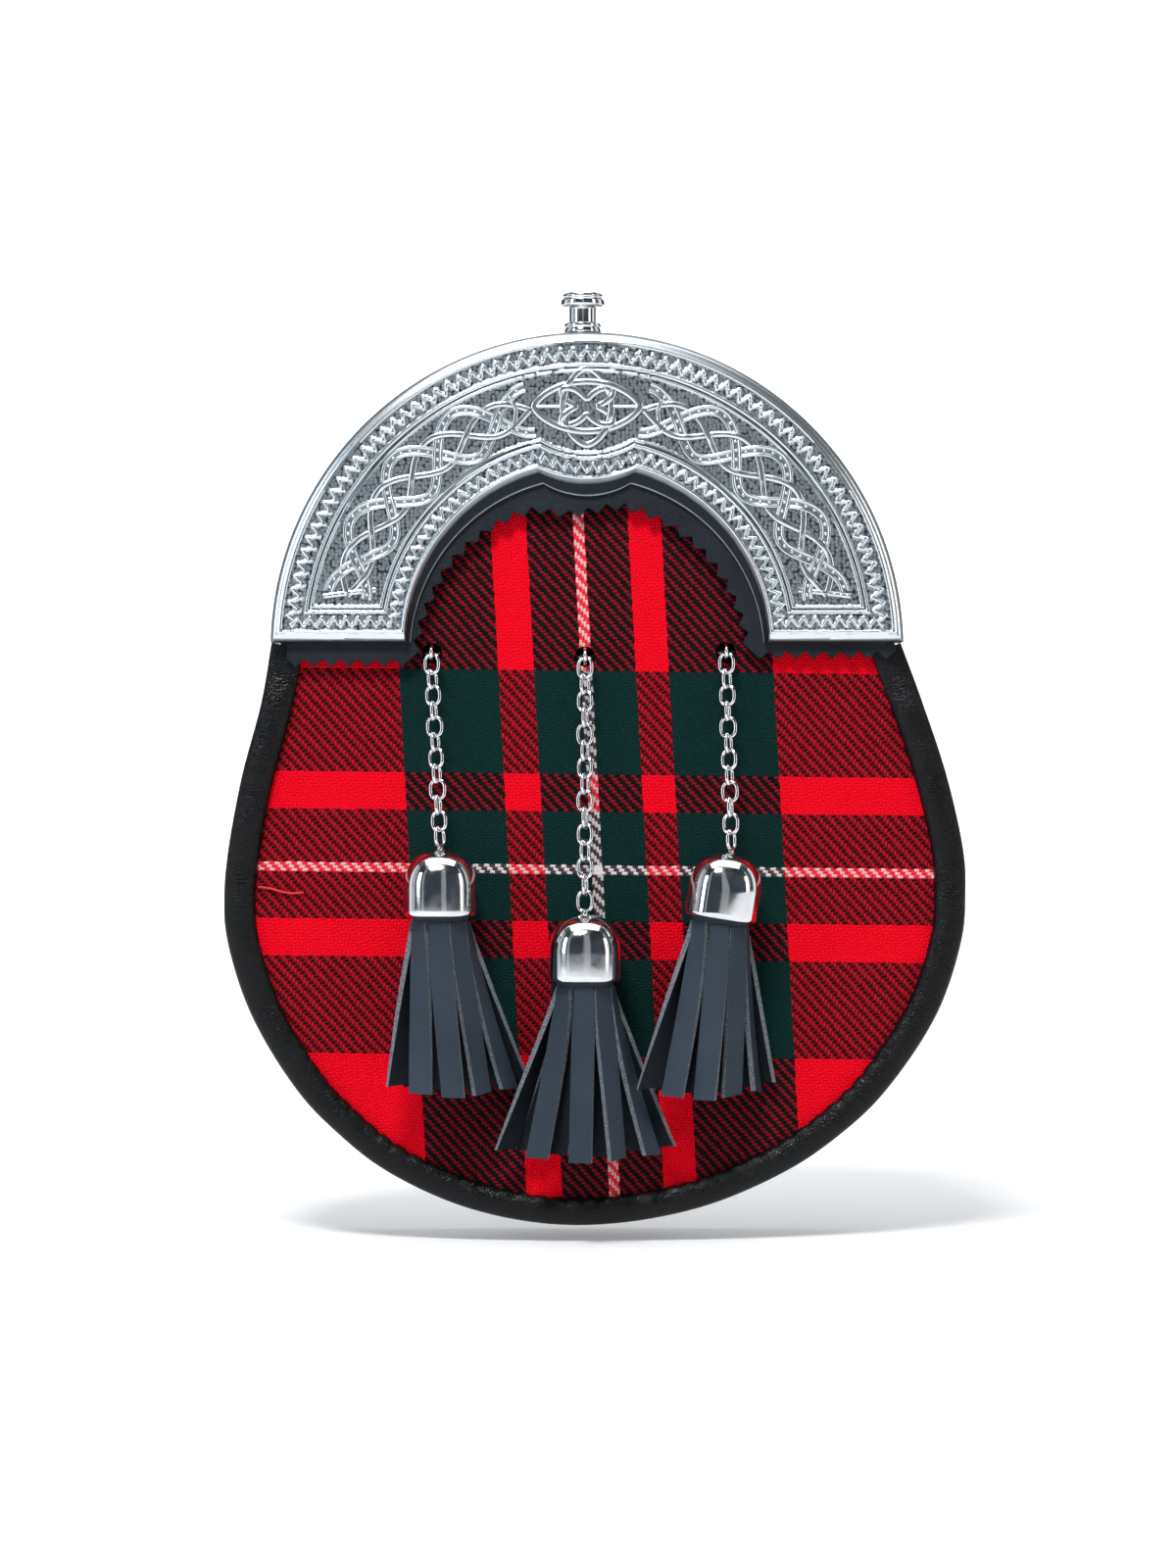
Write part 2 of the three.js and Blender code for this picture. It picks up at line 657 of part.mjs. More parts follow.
function facePanel() {
  const below = pouchStations(FACE_START).map((s) => inset(s, LEATHER + GAP * 1.5, 0));
  const outline = below.map((p) => [p.x, p.z]);
  const high = Math.asin((FACE_TOP + CANTLE_DROP) / faceTopRadius);
  const low = Math.asin((CANTLE_DROP + GAP) / faceTopRadius);
  const steps = 6;
  const arc = Array.from({ length: steps + 1 }, (_, i) => {
    const angle = low + ((high - low) * i) / steps;
    return [faceTopRadius * Math.cos(angle), faceTopRadius * Math.sin(angle) - CANTLE_DROP];
  });
  outline.push(...arc, ...[...arc].reverse().map(([x, z]) => [-x, z]));
  const holes = DROPS.map((drop) => circle(drop.holeX, drop.holeZ, EYELET / 2, 10));
  return plate(outline, FACE_BACK, FACE_FRONT, holes);
}

function backPanel() {
  const edge = pouchStations(FACE_START, 60).map((s) => inset(s, LEATHER, 0));
  const lowest = edge.reduce((best, p, i) => (p.z < edge[best].z ? i : best), 0);
  const crossing = (points, z) => {
    const k = points.findIndex((p, i) => i > 0 && (points[i - 1].z - z) * (p.z - z) <= 0);
    const [a, b] = [points[k - 1], points[k]];
    return a.x + ((b.x - a.x) * (z - a.z)) / (b.z - a.z);
  };
  const left = edge.slice(0, lowest + 1);
  const right = edge.slice(lowest).reverse();
  const top = CANTLE_RADIUS - FRAME_INSET;
  const rings = [];
  const ring = (low, high, z) => {
    const y = backOuter(z);
    rings.push([at(low, y, z), at(high, y, z), at(high, y - BACK_LEATHER, z), at(low, y - BACK_LEATHER, z)]);
  };
  [0.996, 0.96, 0.88, 0.75, 0.58, 0.4, 0.2, 0.04].forEach((share) => {
    const half = top * Math.sqrt(1 - share * share);
    ring(-half, half, top * share - CANTLE_DROP);
  });
  const down = [0.05, 0.4, 1].map((share) => -BACK_KINK * share);
  const rest = [0.1, 0.2, 0.3, 0.4, 0.5, 0.6, 0.7, 0.78, 0.85, 0.91, 0.96, 0.993];
  const floor = edge[lowest].z;
  down.push(...rest.map((share) => -BACK_KINK + (floor + BACK_KINK) * share));
  const below = down.filter((z) => z < Math.min(left[0].z, right[0].z));
  below.forEach((z) => ring(crossing(left, z), crossing(right, z), z));
  return loft(rings);
}

// The roll wraps the face's edge. It starts flat under the trim and fills out below it.
function edgeBinding() {
  const rings = pouchStations(2.5 * GAP).map((station) => {
    const bottom = Math.sin(Math.PI * station.share) ** 4;
    const width = EDGE_WIDTH + (EDGE_WIDTH_BOTTOM - EDGE_WIDTH) * bottom;
    const depth = -station.point.z;
    const rise = THREE.MathUtils.smoothstep(depth, TRIM_LEFT_HANG + TOOTH_DEPTH + 0.5, 16);
    const seat = FACE_FRONT - GAP;
    const crown = seat - (LEATHER - GAP) - (EDGE_CROWN - LEATHER + GAP) * rise;
    const shoulder = seat - 0.7 - (EDGE_CROWN - LEATHER) * 0.8 * rise;
    const profile = [
      [width, seat],
      [width * 0.86, shoulder],
      [width * 0.46, crown],
      [width * 0.18, shoulder],
      [0, (seat + EDGE_BACK) / 2 - 1],
      [0, (seat + EDGE_BACK) / 2 + 1],
      [width * 0.24, EDGE_BACK],
      [EDGE_BACK_LEG, EDGE_BACK],
      [EDGE_BACK_LEG, FACE_BACK + GAP],
      [LEATHER, FACE_BACK + GAP],
      [LEATHER, seat],
    ];
    return profile.map(([distance, y]) => inset(station, distance, y));
  });
  return loft(rings);
}

function gusset() {
  const front = EDGE_BACK + GAP;
  const rings = pouchStations(3 * GAP).map((station) => {
    const point = (distance, share) => {
      const edge = inset(station, distance, 0);
      const back = backOuter(edge.z) - BACK_LEATHER - 1.5 * GAP;
      return at(edge.x, front + (back - front) * share, edge.z);
    };
    const depth = backOuter(station.point.z) - BACK_LEATHER - GAP - front;
    const tuck = GUSSET_INSET + depth * GUSSET_FOLD;
    return [
      point(GUSSET_INSET, 0),
      point(tuck, 0.5),
      point(GUSSET_INSET, 1),
      point(GUSSET_INSET + LEATHER, 1),
      point(tuck + LEATHER, 0.5),
      point(GUSSET_INSET + LEATHER, 0),
    ];
  });
  return loft(rings);
}

// Pinked leather between the cantle and the face: teeth under both feet and round the arch.
function trim() {
  const outline = [];
  const teeth = (from, to, tip) => {
    const length = Math.hypot(to[0] - from[0], to[1] - from[1]);
    const count = Math.max(2, Math.round(length / TOOTH_PITCH));
    for (let i = 0; i < count; i++) {
      const spot = (share) => [from[0] + (to[0] - from[0]) * share, from[1] + (to[1] - from[1]) * share];
      const [x, z] = spot(i / count);
      const [tx, tz] = spot((i + 0.5) / count);
      outline.push([x, z], [tx + tip[0], tz + tip[1]]);
    }
  };
  const centre = [TRIM_ARCH_SHIFT, -TRIM_ARCH_DROP];
  const archEnd = (hang) => Math.asin((TRIM_ARCH_DROP - hang) / TRIM_RADIUS);
  const leftEnd = archEnd(TRIM_LEFT_HANG);
  const rightEnd = archEnd(TRIM_RIGHT_HANG);
  const onArch = (angle, r) => [centre[0] + r * Math.cos(angle), centre[1] + r * Math.sin(angle)];
  teeth([-TRIM_LEFT_END, -TRIM_LEFT_HANG], onArch(Math.PI - leftEnd, TRIM_RADIUS), [0, -TOOTH_DEPTH]);
  const sweep = Math.PI - leftEnd - rightEnd;
  const count = Math.round((sweep * TRIM_RADIUS) / TOOTH_PITCH);
  for (let i = 0; i < count; i++) {
    const angle = Math.PI - leftEnd - (sweep * i) / count;
    outline.push(onArch(angle, TRIM_RADIUS), onArch(angle - sweep / count / 2, TRIM_RADIUS - TOOTH_DEPTH));
  }
  teeth(onArch(rightEnd, TRIM_RADIUS), [TRIM_RIGHT_END, -TRIM_RIGHT_HANG], [0, -TOOTH_DEPTH]);
  outline.push([TRIM_RIGHT_END, -TRIM_RIGHT_HANG], [TRIM_RIGHT_END, -GAP]);
  const radius = CANTLE_RADIUS - SKIRT_WALL - 3 * GAP - EAR_THICKNESS;
  const ceiling = flangeTop - KNOB_FLANGE_THICKNESS - KNOB_TRAVEL - GAP; // clear of the pressed knob
  const start = Math.asin(CANTLE_DROP / radius);
  for (let i = 0; i <= 14; i++) {
    const angle = start + ((Math.PI - 2 * start) * i) / 14;
    outline.push([radius * Math.cos(angle), Math.min(ceiling, radius * Math.sin(angle) - CANTLE_DROP)]);
  }
  outline.push([-TRIM_LEFT_END, -GAP]);
  return plate(outline, TRIM_BACK, TRIM_FRONT);
}

// A band of leather stood off the back panel, with both feet flat against it.
function strapLoop(x) {
  const half = LOOP_OPENING / 2;
  const top = GAP + LOOP_LEATHER + LOOP_CLEAR;
  const section = [
    [GAP, -half - LOOP_FOOT],
    [GAP, -half],
    [top - LOOP_LEATHER, -half],
    [top - LOOP_LEATHER, half],
    [GAP, half],
    [GAP, half + LOOP_FOOT],
    [GAP + LOOP_LEATHER, half + LOOP_FOOT],
    [GAP + LOOP_LEATHER, half + LOOP_LEATHER],
    [top, half + LOOP_LEATHER - 0.8],
    [top, -half - LOOP_LEATHER + 0.8],
    [GAP + LOOP_LEATHER, -half - LOOP_LEATHER],
    [GAP + LOOP_LEATHER, -half - LOOP_FOOT],
  ];
  const rings = [x - LOOP_WIDTH / 2, x + LOOP_WIDTH / 2].map((end) => section.map(([y, z]) => at(end, y, z)));
  return loft(rings);
}

// Chains, bells and tassels.

// A closed oval of wire in the plane of two unit vectors.
function wireRing(centre, long, wide, halfLong, halfWide, steps = 10) {
  const rings = [];
  for (let i = 0; i < steps; i++) {
    const angle = (2 * Math.PI * i) / steps;
    const middle = centre
      .clone()
      .addScaledVector(long, (Math.sin(angle) * halfLong) / Math.cos(Math.PI / steps))
      .addScaledVector(wide, Math.cos(angle) * halfWide);
    const out = new THREE.Vector3()
      .addScaledVector(long, Math.sin(angle) * halfWide)
      .addScaledVector(wide, Math.cos(angle) * halfLong)
      .normalize();
    const up = new THREE.Vector3().crossVectors(long, wide);
    rings.push(
      Array.from({ length: 5 }, (_, k) => {
        const turn = Math.PI + (2 * Math.PI * k) / 5;
        return middle
          .clone()
          .addScaledVector(out, (Math.cos(turn) * WIRE) / 2)
          .addScaledVector(up, (Math.sin(turn) * WIRE) / 2);
      }),
    );
  }
  return loft(rings, true);
}

function bellFrame(drop) {
  const turn = new THREE.Matrix4().makeRotationY(radians(-drop.lean));
  turn.setPosition(drop.bellX, BELL_AXIS, drop.bellZ);
  return (x, y, z) => at(x, y, z).applyMatrix4(turn);
}

function chain(drop) {
  const inBell = bellFrame(drop);
  const stapleHalf = (STAPLE_LENGTH - WIRE) / 2;
  const stapleWide = (STAPLE_WIDTH - WIRE) / 2;
  const barY = FACE_BACK + GAP + BAR_DIAMETER / 2;
  const staple = at(drop.holeX, barY + BAR_DIAMETER / 2 + WIRE / 2 - LINK_WELD - stapleHalf, drop.holeZ);
  const hookAngle = radians(225);
  const hook = at(
    drop.holeX,
    staple.y + Math.cos(hookAngle) * stapleHalf,
    drop.holeZ + Math.sin(hookAngle) * stapleWide,
  );
  const lift = at(0, -Math.cos(hookAngle) * stapleWide, -Math.sin(hookAngle) * stapleHalf).normalize();
  const top = hook.addScaledVector(lift, WIRE - LINK_WELD);
  const end = inBell(0, 0, GAP + WIRE / 2);
  const down = new THREE.Vector3().subVectors(end, top);
  const span = down.length();
  down.normalize();
  const halfLong = (span + (drop.links - 1) * (WIRE - LINK_WELD)) / drop.links / 2;
  const pitch = 2 * halfLong - WIRE + LINK_WELD;
  const bodies = [
    wireRing(staple, at(0, 1, 0), at(0, 0, 1), stapleHalf, stapleWide),
    rod(
      at(drop.holeX - BAR_LENGTH / 2, barY, drop.holeZ),
      at(drop.holeX + BAR_LENGTH / 2, barY, drop.holeZ),
      BAR_DIAMETER,
    ),
  ];
  const side = new THREE.Vector3().crossVectors(down, at(0, 1, 0)).normalize();
  for (let i = 0; i < drop.links; i++) {
    const turn = radians(LINK_TURN * Math.sin(1.3 * i) + 90 * (i % 2));
    const wide = side.clone().applyAxisAngle(down, turn);
    const centre = top.clone().addScaledVector(down, halfLong + pitch * i);
    bodies.push(wireRing(centre, down, wide, halfLong, (LINK_WIDTH - WIRE) / 2));
  }
  const barDepth = BELL_WALL + GAP + BAR_DIAMETER / 2;
  bodies.push(rod(end, inBell(0, 0, -barDepth), STEM_DIAMETER));
  const half = BELL_BAR_LENGTH / 2;
  bodies.push(rod(inBell(-half, 0, -barDepth), inBell(half, 0, -barDepth), BAR_DIAMETER));
  return joined(bodies);
}

// Thimble-shaped cap with a hole in its crown. The shares follow its radius and height.
function bell(drop) {
  const r = BELL_DIAMETER / 2;
  const h = BELL_HEIGHT;
  const inner = r - BELL_WALL;
  const hole = BELL_HOLE / 2;
  const geometry = turned(
    [
      [hole, 0],
      [r * 0.42, -h * 0.018],
      [r * 0.78, -h * 0.13],
      [r * 0.95, -h * 0.33],
      [r, -h * 0.58],
      [r, -h],
      [inner, -h],
      [inner, -h * 0.5],
      [inner * 0.8, -h * 0.13 - BELL_WALL],
      [inner * 0.4, -h * 0.018 - BELL_WALL],
      [hole, -BELL_WALL],
      [hole, 0],
    ],
    ROUND_STEPS,
  );
  const inBell = bellFrame(drop);
  const place = inBell(0, 0, 0);
  return geometry.rotate([0, -drop.lean, 0]).translate([place.x, place.y, place.z]);
}

function tassel(drop) {
  const inBell = bellFrame(drop);
  const rim = inBell(0, 0, -BELL_HEIGHT);
  const headTop = -BELL_WALL - 2 * GAP - BAR_DIAMETER - 2.2;
  const headLow = -BELL_HEIGHT - TASSEL_HEAD_BELOW;
  const head = TASSEL_HEAD / 2;
  const core = turned(
    [
      [0, headLow],
      [head * 0.94, headLow],
      [head, headLow + TASSEL_HEAD_BELOW],
      [head, headTop - 3],
      [head * 0.6, headTop],
      [0, headTop],
    ],
    ROUND_STEPS,
  );
  const place = inBell(0, 0, 0);
  const bodies = [core.rotate([0, -drop.lean, 0]).translate([place.x, place.y, place.z])];
  const nearFace = FACE_FRONT - GAP - STRIP_THICKNESS;
  for (const row of STRIP_ROWS) {
    const turn = radians(row.turn);
    const reach = head * row.ring - STRIP_THICKNESS * 0.45;
    const start = inBell(reach * Math.cos(turn), reach * Math.sin(turn), headLow + 1.6);
    const front = Math.min(1, Math.max(0.03, row.front - row.side * drop.swing));
    const end = at(
      drop.endX + row.side * drop.spread,
      nearFace - front * TASSEL_DEPTH,
      rim.z - STRIP_LENGTH * row.length,
    );
    const rings = [];
    for (const share of [0, 0.45, 1]) {
      const ease = share ** 1.15;
      const middle = start.clone().lerp(end, ease);
      middle.z = start.z + (end.z - start.z) * share;
      const facing = turn + (radians(row.face) - radians(row.turn)) * share;
      const across = at(-Math.sin(facing), Math.cos(facing), 0);
      const normal = at(Math.cos(facing), Math.sin(facing), 0);
      const width = (STRIP_WIDTH * (share === 0 ? 0.8 : 1)) / 2;
      rings.push(
        [[-1, -1], [1, -1], [1, 1], [-1, 1]].map(([a, n]) =>
          middle
            .clone()
            .addScaledVector(across, a * width)
            .addScaledVector(normal, (n * STRIP_THICKNESS) / 2),
        ),
      );
    }
    bodies.push(loft(rings));
  }
  return joined(bodies);
}

// Assembly.

const sporran = new THREE.Group();
sporran.name = 'sporran';
sporran.add(
  meshOf('cantle', cantle(), CAST_METAL),
  meshOf('clasp_knob', knob(), CHROME),
  meshOf('clasp_collar', collar(), CHROME),
  meshOf('back_frame', backFrame(), FRAME_METAL),
  meshOf('hinge_pin_left', hingePin(-1), FRAME_METAL),
  meshOf('hinge_pin_right', hingePin(1), FRAME_METAL),
  meshOf('cantle_trim', trim(), TRIM_GREY),
  meshOf('front_panel', facePanel(), TARTAN),
  meshOf('edge_binding', edgeBinding(), EDGE_BLACK),
  meshOf('gusset', gusset(), BODY_BLACK),
  meshOf('back_panel', backPanel(), BODY_BLACK),
  meshOf('strap_loop_left', strapLoop(-LOOP_SPACING / 2), BODY_BLACK),
  meshOf('strap_loop_right', strapLoop(LOOP_SPACING / 2), BODY_BLACK),
);
for (const drop of DROPS) {
  sporran.add(
    meshOf(`chain_${drop.side}`, chain(drop), CHROME),
    meshOf(`bell_${drop.side}`, bell(drop), CHROME),
    meshOf(`tassel_${drop.side}`, tassel(drop), SLATE),
  );
}

export default sporran;
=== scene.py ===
# A dress sporran pouch: a cast cantle with a press clasp over a tartan face, a rolled leather edge, a folding
# gusset, and three chains that carry leather tassels under polished bells.
# Lengths are millimetres in the part's frame (+Z up, face towards -Y), and each mesh is made in metres.
import math
from collections import namedtuple

import bmesh
import bpy
import numpy as np
from mathutils import Matrix, Vector


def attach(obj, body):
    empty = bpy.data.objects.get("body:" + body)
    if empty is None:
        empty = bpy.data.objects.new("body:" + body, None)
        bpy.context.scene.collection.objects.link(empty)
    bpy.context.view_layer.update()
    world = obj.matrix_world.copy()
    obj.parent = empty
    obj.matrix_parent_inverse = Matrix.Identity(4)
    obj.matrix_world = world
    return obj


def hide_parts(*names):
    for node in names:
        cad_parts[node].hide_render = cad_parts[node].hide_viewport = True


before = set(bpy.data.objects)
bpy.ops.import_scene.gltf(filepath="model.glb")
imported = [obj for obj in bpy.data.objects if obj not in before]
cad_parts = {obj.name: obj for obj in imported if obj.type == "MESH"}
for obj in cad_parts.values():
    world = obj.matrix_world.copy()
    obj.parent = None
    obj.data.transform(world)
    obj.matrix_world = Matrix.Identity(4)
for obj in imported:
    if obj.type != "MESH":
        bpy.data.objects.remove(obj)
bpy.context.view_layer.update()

bpy.ops.object.select_all(action="DESELECT")

# Back panel.
# One piece of 2 mm black leather cut to the pouch's outline. It stands upright behind the strap loops and
# leans out below them to give the pocket its depth. It is sewn to the gusset along its edge.

MM = 0.001
LEATHER = 1.5
POUCH_HALF_WIDTH = 92.8
POUCH_DROP = 145.9
POUCH_ROWS = (  # share of the drop, half widths left and right
    (0, 0.852, 0.847), (0.1, 0.879, 0.905), (0.234, 0.934, 0.974), (0.369, 0.972, 1.019),
    (0.436, 0.98, 1.022), (0.503, 0.974, 1.014), (0.637, 0.908, 0.945), (0.772, 0.779, 0.803),
    (0.839, 0.679, 0.694), (0.906, 0.544, 0.541), (0.973, 0.309, 0.286),
)
POUCH_LOWEST = -0.03
BACK_KINK = 22.5
BACK_LEAN = math.tan(math.radians(5.2))
CANTLE_DROP = 1.7  # the cantle's centre below the base line


def outline_curve(points, steps=40):
    """A centripetal spline through the points, with the length along it."""
    points = [2 * points[0] - points[1], *points, 2 * points[-1] - points[-2]]
    line = []
    for p0, p1, p2, p3 in zip(points, points[1:], points[2:], points[3:]):
        d0, d1, d2 = ((b - a).length ** 0.5 for a, b in ((p0, p1), (p1, p2), (p2, p3)))
        t1 = ((p1 - p0) / d0 - (p2 - p0) / (d0 + d1) + (p2 - p1) / d1) * d1
        t2 = ((p2 - p1) / d1 - (p3 - p1) / (d1 + d2) + (p3 - p2) / d2) * d1
        for i in range(steps):
            t = i / steps
            line.append(p1 + t1 * t + (3 * (p2 - p1) - 2 * t1 - t2) * t**2 + (2 * (p1 - p2) + t1 + t2) * t**3)
    line.append(points[-2])
    runs = [0.0]
    for a, b in zip(line, line[1:]):
        runs.append(runs[-1] + (b - a).length)
    return np.array([tuple(p) for p in line]), np.array(runs)


pouch_line, pouch_runs = outline_curve(
    [Vector((-left * POUCH_HALF_WIDTH, -down * POUCH_DROP)) for down, left, _ in POUCH_ROWS]
    + [Vector((POUCH_LOWEST * POUCH_HALF_WIDTH, -POUCH_DROP))]
    + [Vector((right * POUCH_HALF_WIDTH, -down * POUCH_DROP)) for down, _, right in reversed(POUCH_ROWS)]
)
POUCH_LENGTH = pouch_runs[-1]


def heading(run, runs, line, reach):
    """The direction of a line at a distance along it, in x and z."""
    ahead, behind = ([np.interp(run + step, runs, line[:, k]) for k in (0, 1)] for step in (reach, -reach))
    along = np.array(ahead) - np.array(behind)
    return along / np.linalg.norm(along)


def pouch_stations(start, count):
    """Rows of share, x, z and the inward direction, from the left end round the bottom to the right end."""
    rows = []
    for run in np.linspace(start, POUCH_LENGTH - start, count):
        x, z = (np.interp(run, pouch_runs, pouch_line[:, k]) for k in (0, 1))
        along = heading(run, pouch_runs, pouch_line, 0.8)
        rows.append((run / POUCH_LENGTH, x, z, -along[1], along[0]))
    return rows


def back_outer(z):
    return max(0.0, -z - BACK_KINK) * BACK_LEAN


def shown(name, mesh):
    made = bpy.data.objects.new(name, mesh)
    bpy.context.scene.collection.objects.link(made)
    return made


def turn_outwards(mesh, doubles=0.0):
    """Merge points that lie together, and turn every face outwards."""
    work = bmesh.new()
    work.from_mesh(mesh)
    if doubles:
        bmesh.ops.remove_doubles(work, verts=work.verts, dist=doubles)
    bmesh.ops.recalc_face_normals(work, faces=work.faces)
    work.to_mesh(mesh)
    work.free()


def piece(name, points, faces):
    """A mesh from millimetres, smooth, that goes with the pouch."""
    mesh = bpy.data.meshes.new(name)
    mesh.from_pydata([[c * MM for c in p] for p in points], [], faces)
    turn_outwards(mesh, 1e-7)
    mesh.shade_smooth()
    made = shown(name, mesh)
    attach(made, "pouch")
    return made


def only(obj):
    bpy.ops.object.select_all(action="DESELECT")
    obj.select_set(True)
    bpy.context.view_layer.objects.active = obj


def crisp(obj, degrees=35):
    only(obj)
    bpy.ops.object.shade_smooth_by_angle(angle=math.radians(degrees))


def bevelled(obj, width, segments=2):
    only(obj)
    edge = obj.modifiers.new("edge", "BEVEL")
    edge.width, edge.segments, edge.limit_method = width * MM, segments, "ANGLE"
    edge.angle_limit = math.radians(40)
    bpy.ops.object.modifier_apply(modifier=edge.name)


def tiled_outline(name, outline, depth_at, thickness, step):
    """A flat outline in x and z, cut into small tiles, laid on depth_at and given its thickness behind."""
    work = bmesh.new()
    work.faces.new([work.verts.new((x, 0, z)) for x, z in outline])
    xs, zs = [p[0] for p in outline], [p[1] for p in outline]
    for axis, low, high in ((0, min(xs), max(xs)), (2, min(zs), max(zs))):
        for place in np.arange(low + step * 0.43, high, step):
            at, normal = [0, 0, 0], [0, 0, 0]
            at[axis], normal[axis] = place, 1
            bmesh.ops.bisect_plane(
                work, geom=[*work.verts, *work.edges, *work.faces], dist=1e-4, plane_co=at, plane_no=normal
            )
    work.verts.index_update()
    flat = [(v.co.x, v.co.z) for v in work.verts]
    tiles = [[v.index for v in f.verts] for f in work.faces]
    rim = [[v.index for v in e.verts] for e in work.edges if len(e.link_faces) == 1]
    work.free()
    count = len(flat)
    front = [(x, depth_at(x, z), z) for x, z in flat]
    back = [(x, depth_at(x, z) + thickness, z) for x, z in flat]
    faces = tiles + [[i + count for i in reversed(tile)] for tile in tiles]
    faces += [[a, b, b + count, a + count] for a, b in rim]
    return piece(name, front + back, faces)


def linear(code):
    """An sRGB hex colour as the linear one that a shader takes."""
    parts = [int(code[i : i + 2], 16) / 255 for i in (0, 2, 4)]
    return [c / 12.92 if c <= 0.04045 else ((c + 0.055) / 1.055) ** 2.4 for c in parts] + [1.0]


def node(finish, kind, inputs=(), out=0, **settings):
    """Add a node with its settings, set or link its inputs by place or by name, and give one of its outputs."""
    made = finish.node_tree.nodes.new("ShaderNode" + kind)
    for name, value in settings.items():
        setattr(made, name, value)
    for key, value in inputs.items() if isinstance(inputs, dict) else enumerate(inputs):
        if isinstance(value, bpy.types.NodeSocket):
            finish.node_tree.links.new(value, made.inputs[key])
        else:
            made.inputs[key].default_value = value
    return made.outputs[out]


def new_finish(name, **values):
    finish = bpy.data.materials.new(name)
    finish.use_nodes = True
    for key, value in values.items():
        finish.node_tree.nodes["Principled BSDF"].inputs[key.replace("_", " ")].default_value = value
    return finish


def coat(finish, **sockets):
    """Lead the outputs of nodes into the finish's own shader."""
    shader = finish.node_tree.nodes["Principled BSDF"]
    for key, socket in sockets.items():
        finish.node_tree.links.new(socket, shader.inputs[key.replace("_", " ")])


def mottled(finish, scale, detail, dark, light):
    """Mix two colours over a finish by a fine noise, with scale cells in a metre, and give the noise."""
    place = node(finish, "TexCoord", out="Object")
    noise = node(finish, "TexNoise", {"Vector": place, "Scale": scale, "Detail": detail})
    tone = node(finish, "Mix", {0: noise, 6: linear(dark), 7: linear(light)}, 2, data_type="RGBA")
    coat(finish, Base_Color=tone)
    return noise


HIDE_PATCH = 18  # mm across the faint light and dark patches of a hide


def leather(name, dark, light, roughness, grain, depth, **values):
    """Chrome-tanned cowhide with a pressed grain: grain is the size of its cells in millimetres."""
    finish = new_finish(name, Roughness=roughness, **values)
    cloud = mottled(finish, 1 / (HIDE_PATCH * MM), 3.0, dark, light)
    place = node(finish, "TexCoord", out="Object")
    cells = node(finish, "TexVoronoi", {"Vector": place, "Scale": 1 / (grain * MM)}, feature="DISTANCE_TO_EDGE")
    pores = node(finish, "TexNoise", {"Vector": place, "Scale": 1 / (grain * 2.2 * MM), "Detail": 5.0})
    gloss = node(finish, "MapRange", {0: cloud, 1: 0.3, 2: 0.7, 3: roughness - 0.06, 4: roughness + 0.08})
    rise = node(finish, "Math", (cells, 0.45), operation="POWER")
    rise = node(finish, "Math", (rise, pores), operation="ADD")
    bump = node(finish, "Bump", {"Height": rise, "Strength": 0.55, "Distance": depth * MM})
    coat(finish, Roughness=gloss, Normal=bump)
    return finish


def dress(obj, finish, slot, *nodes):
    obj.data.materials.clear()
    obj.data.materials.append(finish)
    if nodes:
        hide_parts(*nodes)
    return obj


# Vegetable-black hide: almost no colour, a fine pebble and a soft satin shine.
body_leather = leather("black_body_leather", "0b0d0f", "15181b", 0.5, 0.75, 0.22, Specular_IOR_Level=0.2)

BACK_LEATHER = 2
CANTLE_RADIUS = 79
back_edge = [(x + ix * LEATHER, z + iz * LEATHER) for _, x, z, ix, iz in pouch_stations(2.2, 150)]
back_top = CANTLE_RADIUS - 0.8
back_edge += [
    (back_top * math.cos(a), back_top * math.sin(a) - CANTLE_DROP)
    for a in np.linspace(math.radians(2.4), math.pi - math.radians(2.4), 60)
]
back_panel = tiled_outline(
    "back_panel_leather", back_edge, lambda x, z: back_outer(z) - BACK_LEATHER, BACK_LEATHER, step=6
)
bevelled(back_panel, 0.35)
dress(back_panel, body_leather, "body_leather", "back_panel")

# The seam is a row of waxed thread, about 2.5 mm a stitch, 3 mm in from the edge.
THREAD = 0.75
STITCH = 2.5


def bands(size, rings, start=0, closed=False):
    """The quads between each ring of points and the next, and from the last to the first if closed."""
    faces = []
    for r in range(rings if closed else rings - 1):
        a, b = start + r * size, start + (r + 1) % rings * size
        faces += [[a + k, a + (k + 1) % size, b + (k + 1) % size, b + k] for k in range(size)]
    return faces


def stitches(name, stations, length=STITCH):
    """Short rods of thread with rounded ends. A station is a place and two unit vectors, along and out."""
    sides = 6
    points, faces = [], []
    for place, along, out in stations:
        side = along.cross(out)
        start = len(points)
        for share, size, lift in ((-0.5, 0.35, -0.25), (-0.32, 0.95, 0.1), (0.32, 0.95, 0.1), (0.5, 0.35, -0.25)):
            middle = place + along * (share * length) + out * (lift * THREAD)
            for k in range(sides):
                turn = 2 * math.pi * k / sides
                points.append(middle + (side * math.cos(turn) + out * math.sin(turn)) * (size * THREAD / 2))
        faces += bands(sides, 4, start)
        faces.append([start + k for k in range(sides)])
        faces.append([start + 3 * sides + k for k in reversed(range(sides))])
    return piece(name, points, faces)


# Waxed linen: black with the paler plies just showing.
thread = new_finish("black_waxed_thread", Roughness=0.55)
mottled(thread, 2600.0, 2.0, "15171a", "3a3d42")

back_seam = []
for _, x, z, ix, iz in pouch_stations(9, 158):
    x, z = x + ix * 4.6, z + iz * 4.6
    lean = Vector((0, 1, BACK_LEAN if -z > BACK_KINK else 0)).normalized()
    along = Vector((iz, 0, -ix)).normalized()
    along = (along - lean * along.dot(lean)).normalized()
    back_seam.append((Vector((x, back_outer(z), z)), along, lean))
dress(stitches("back_seam_thread", back_seam), thread, "body_leather")

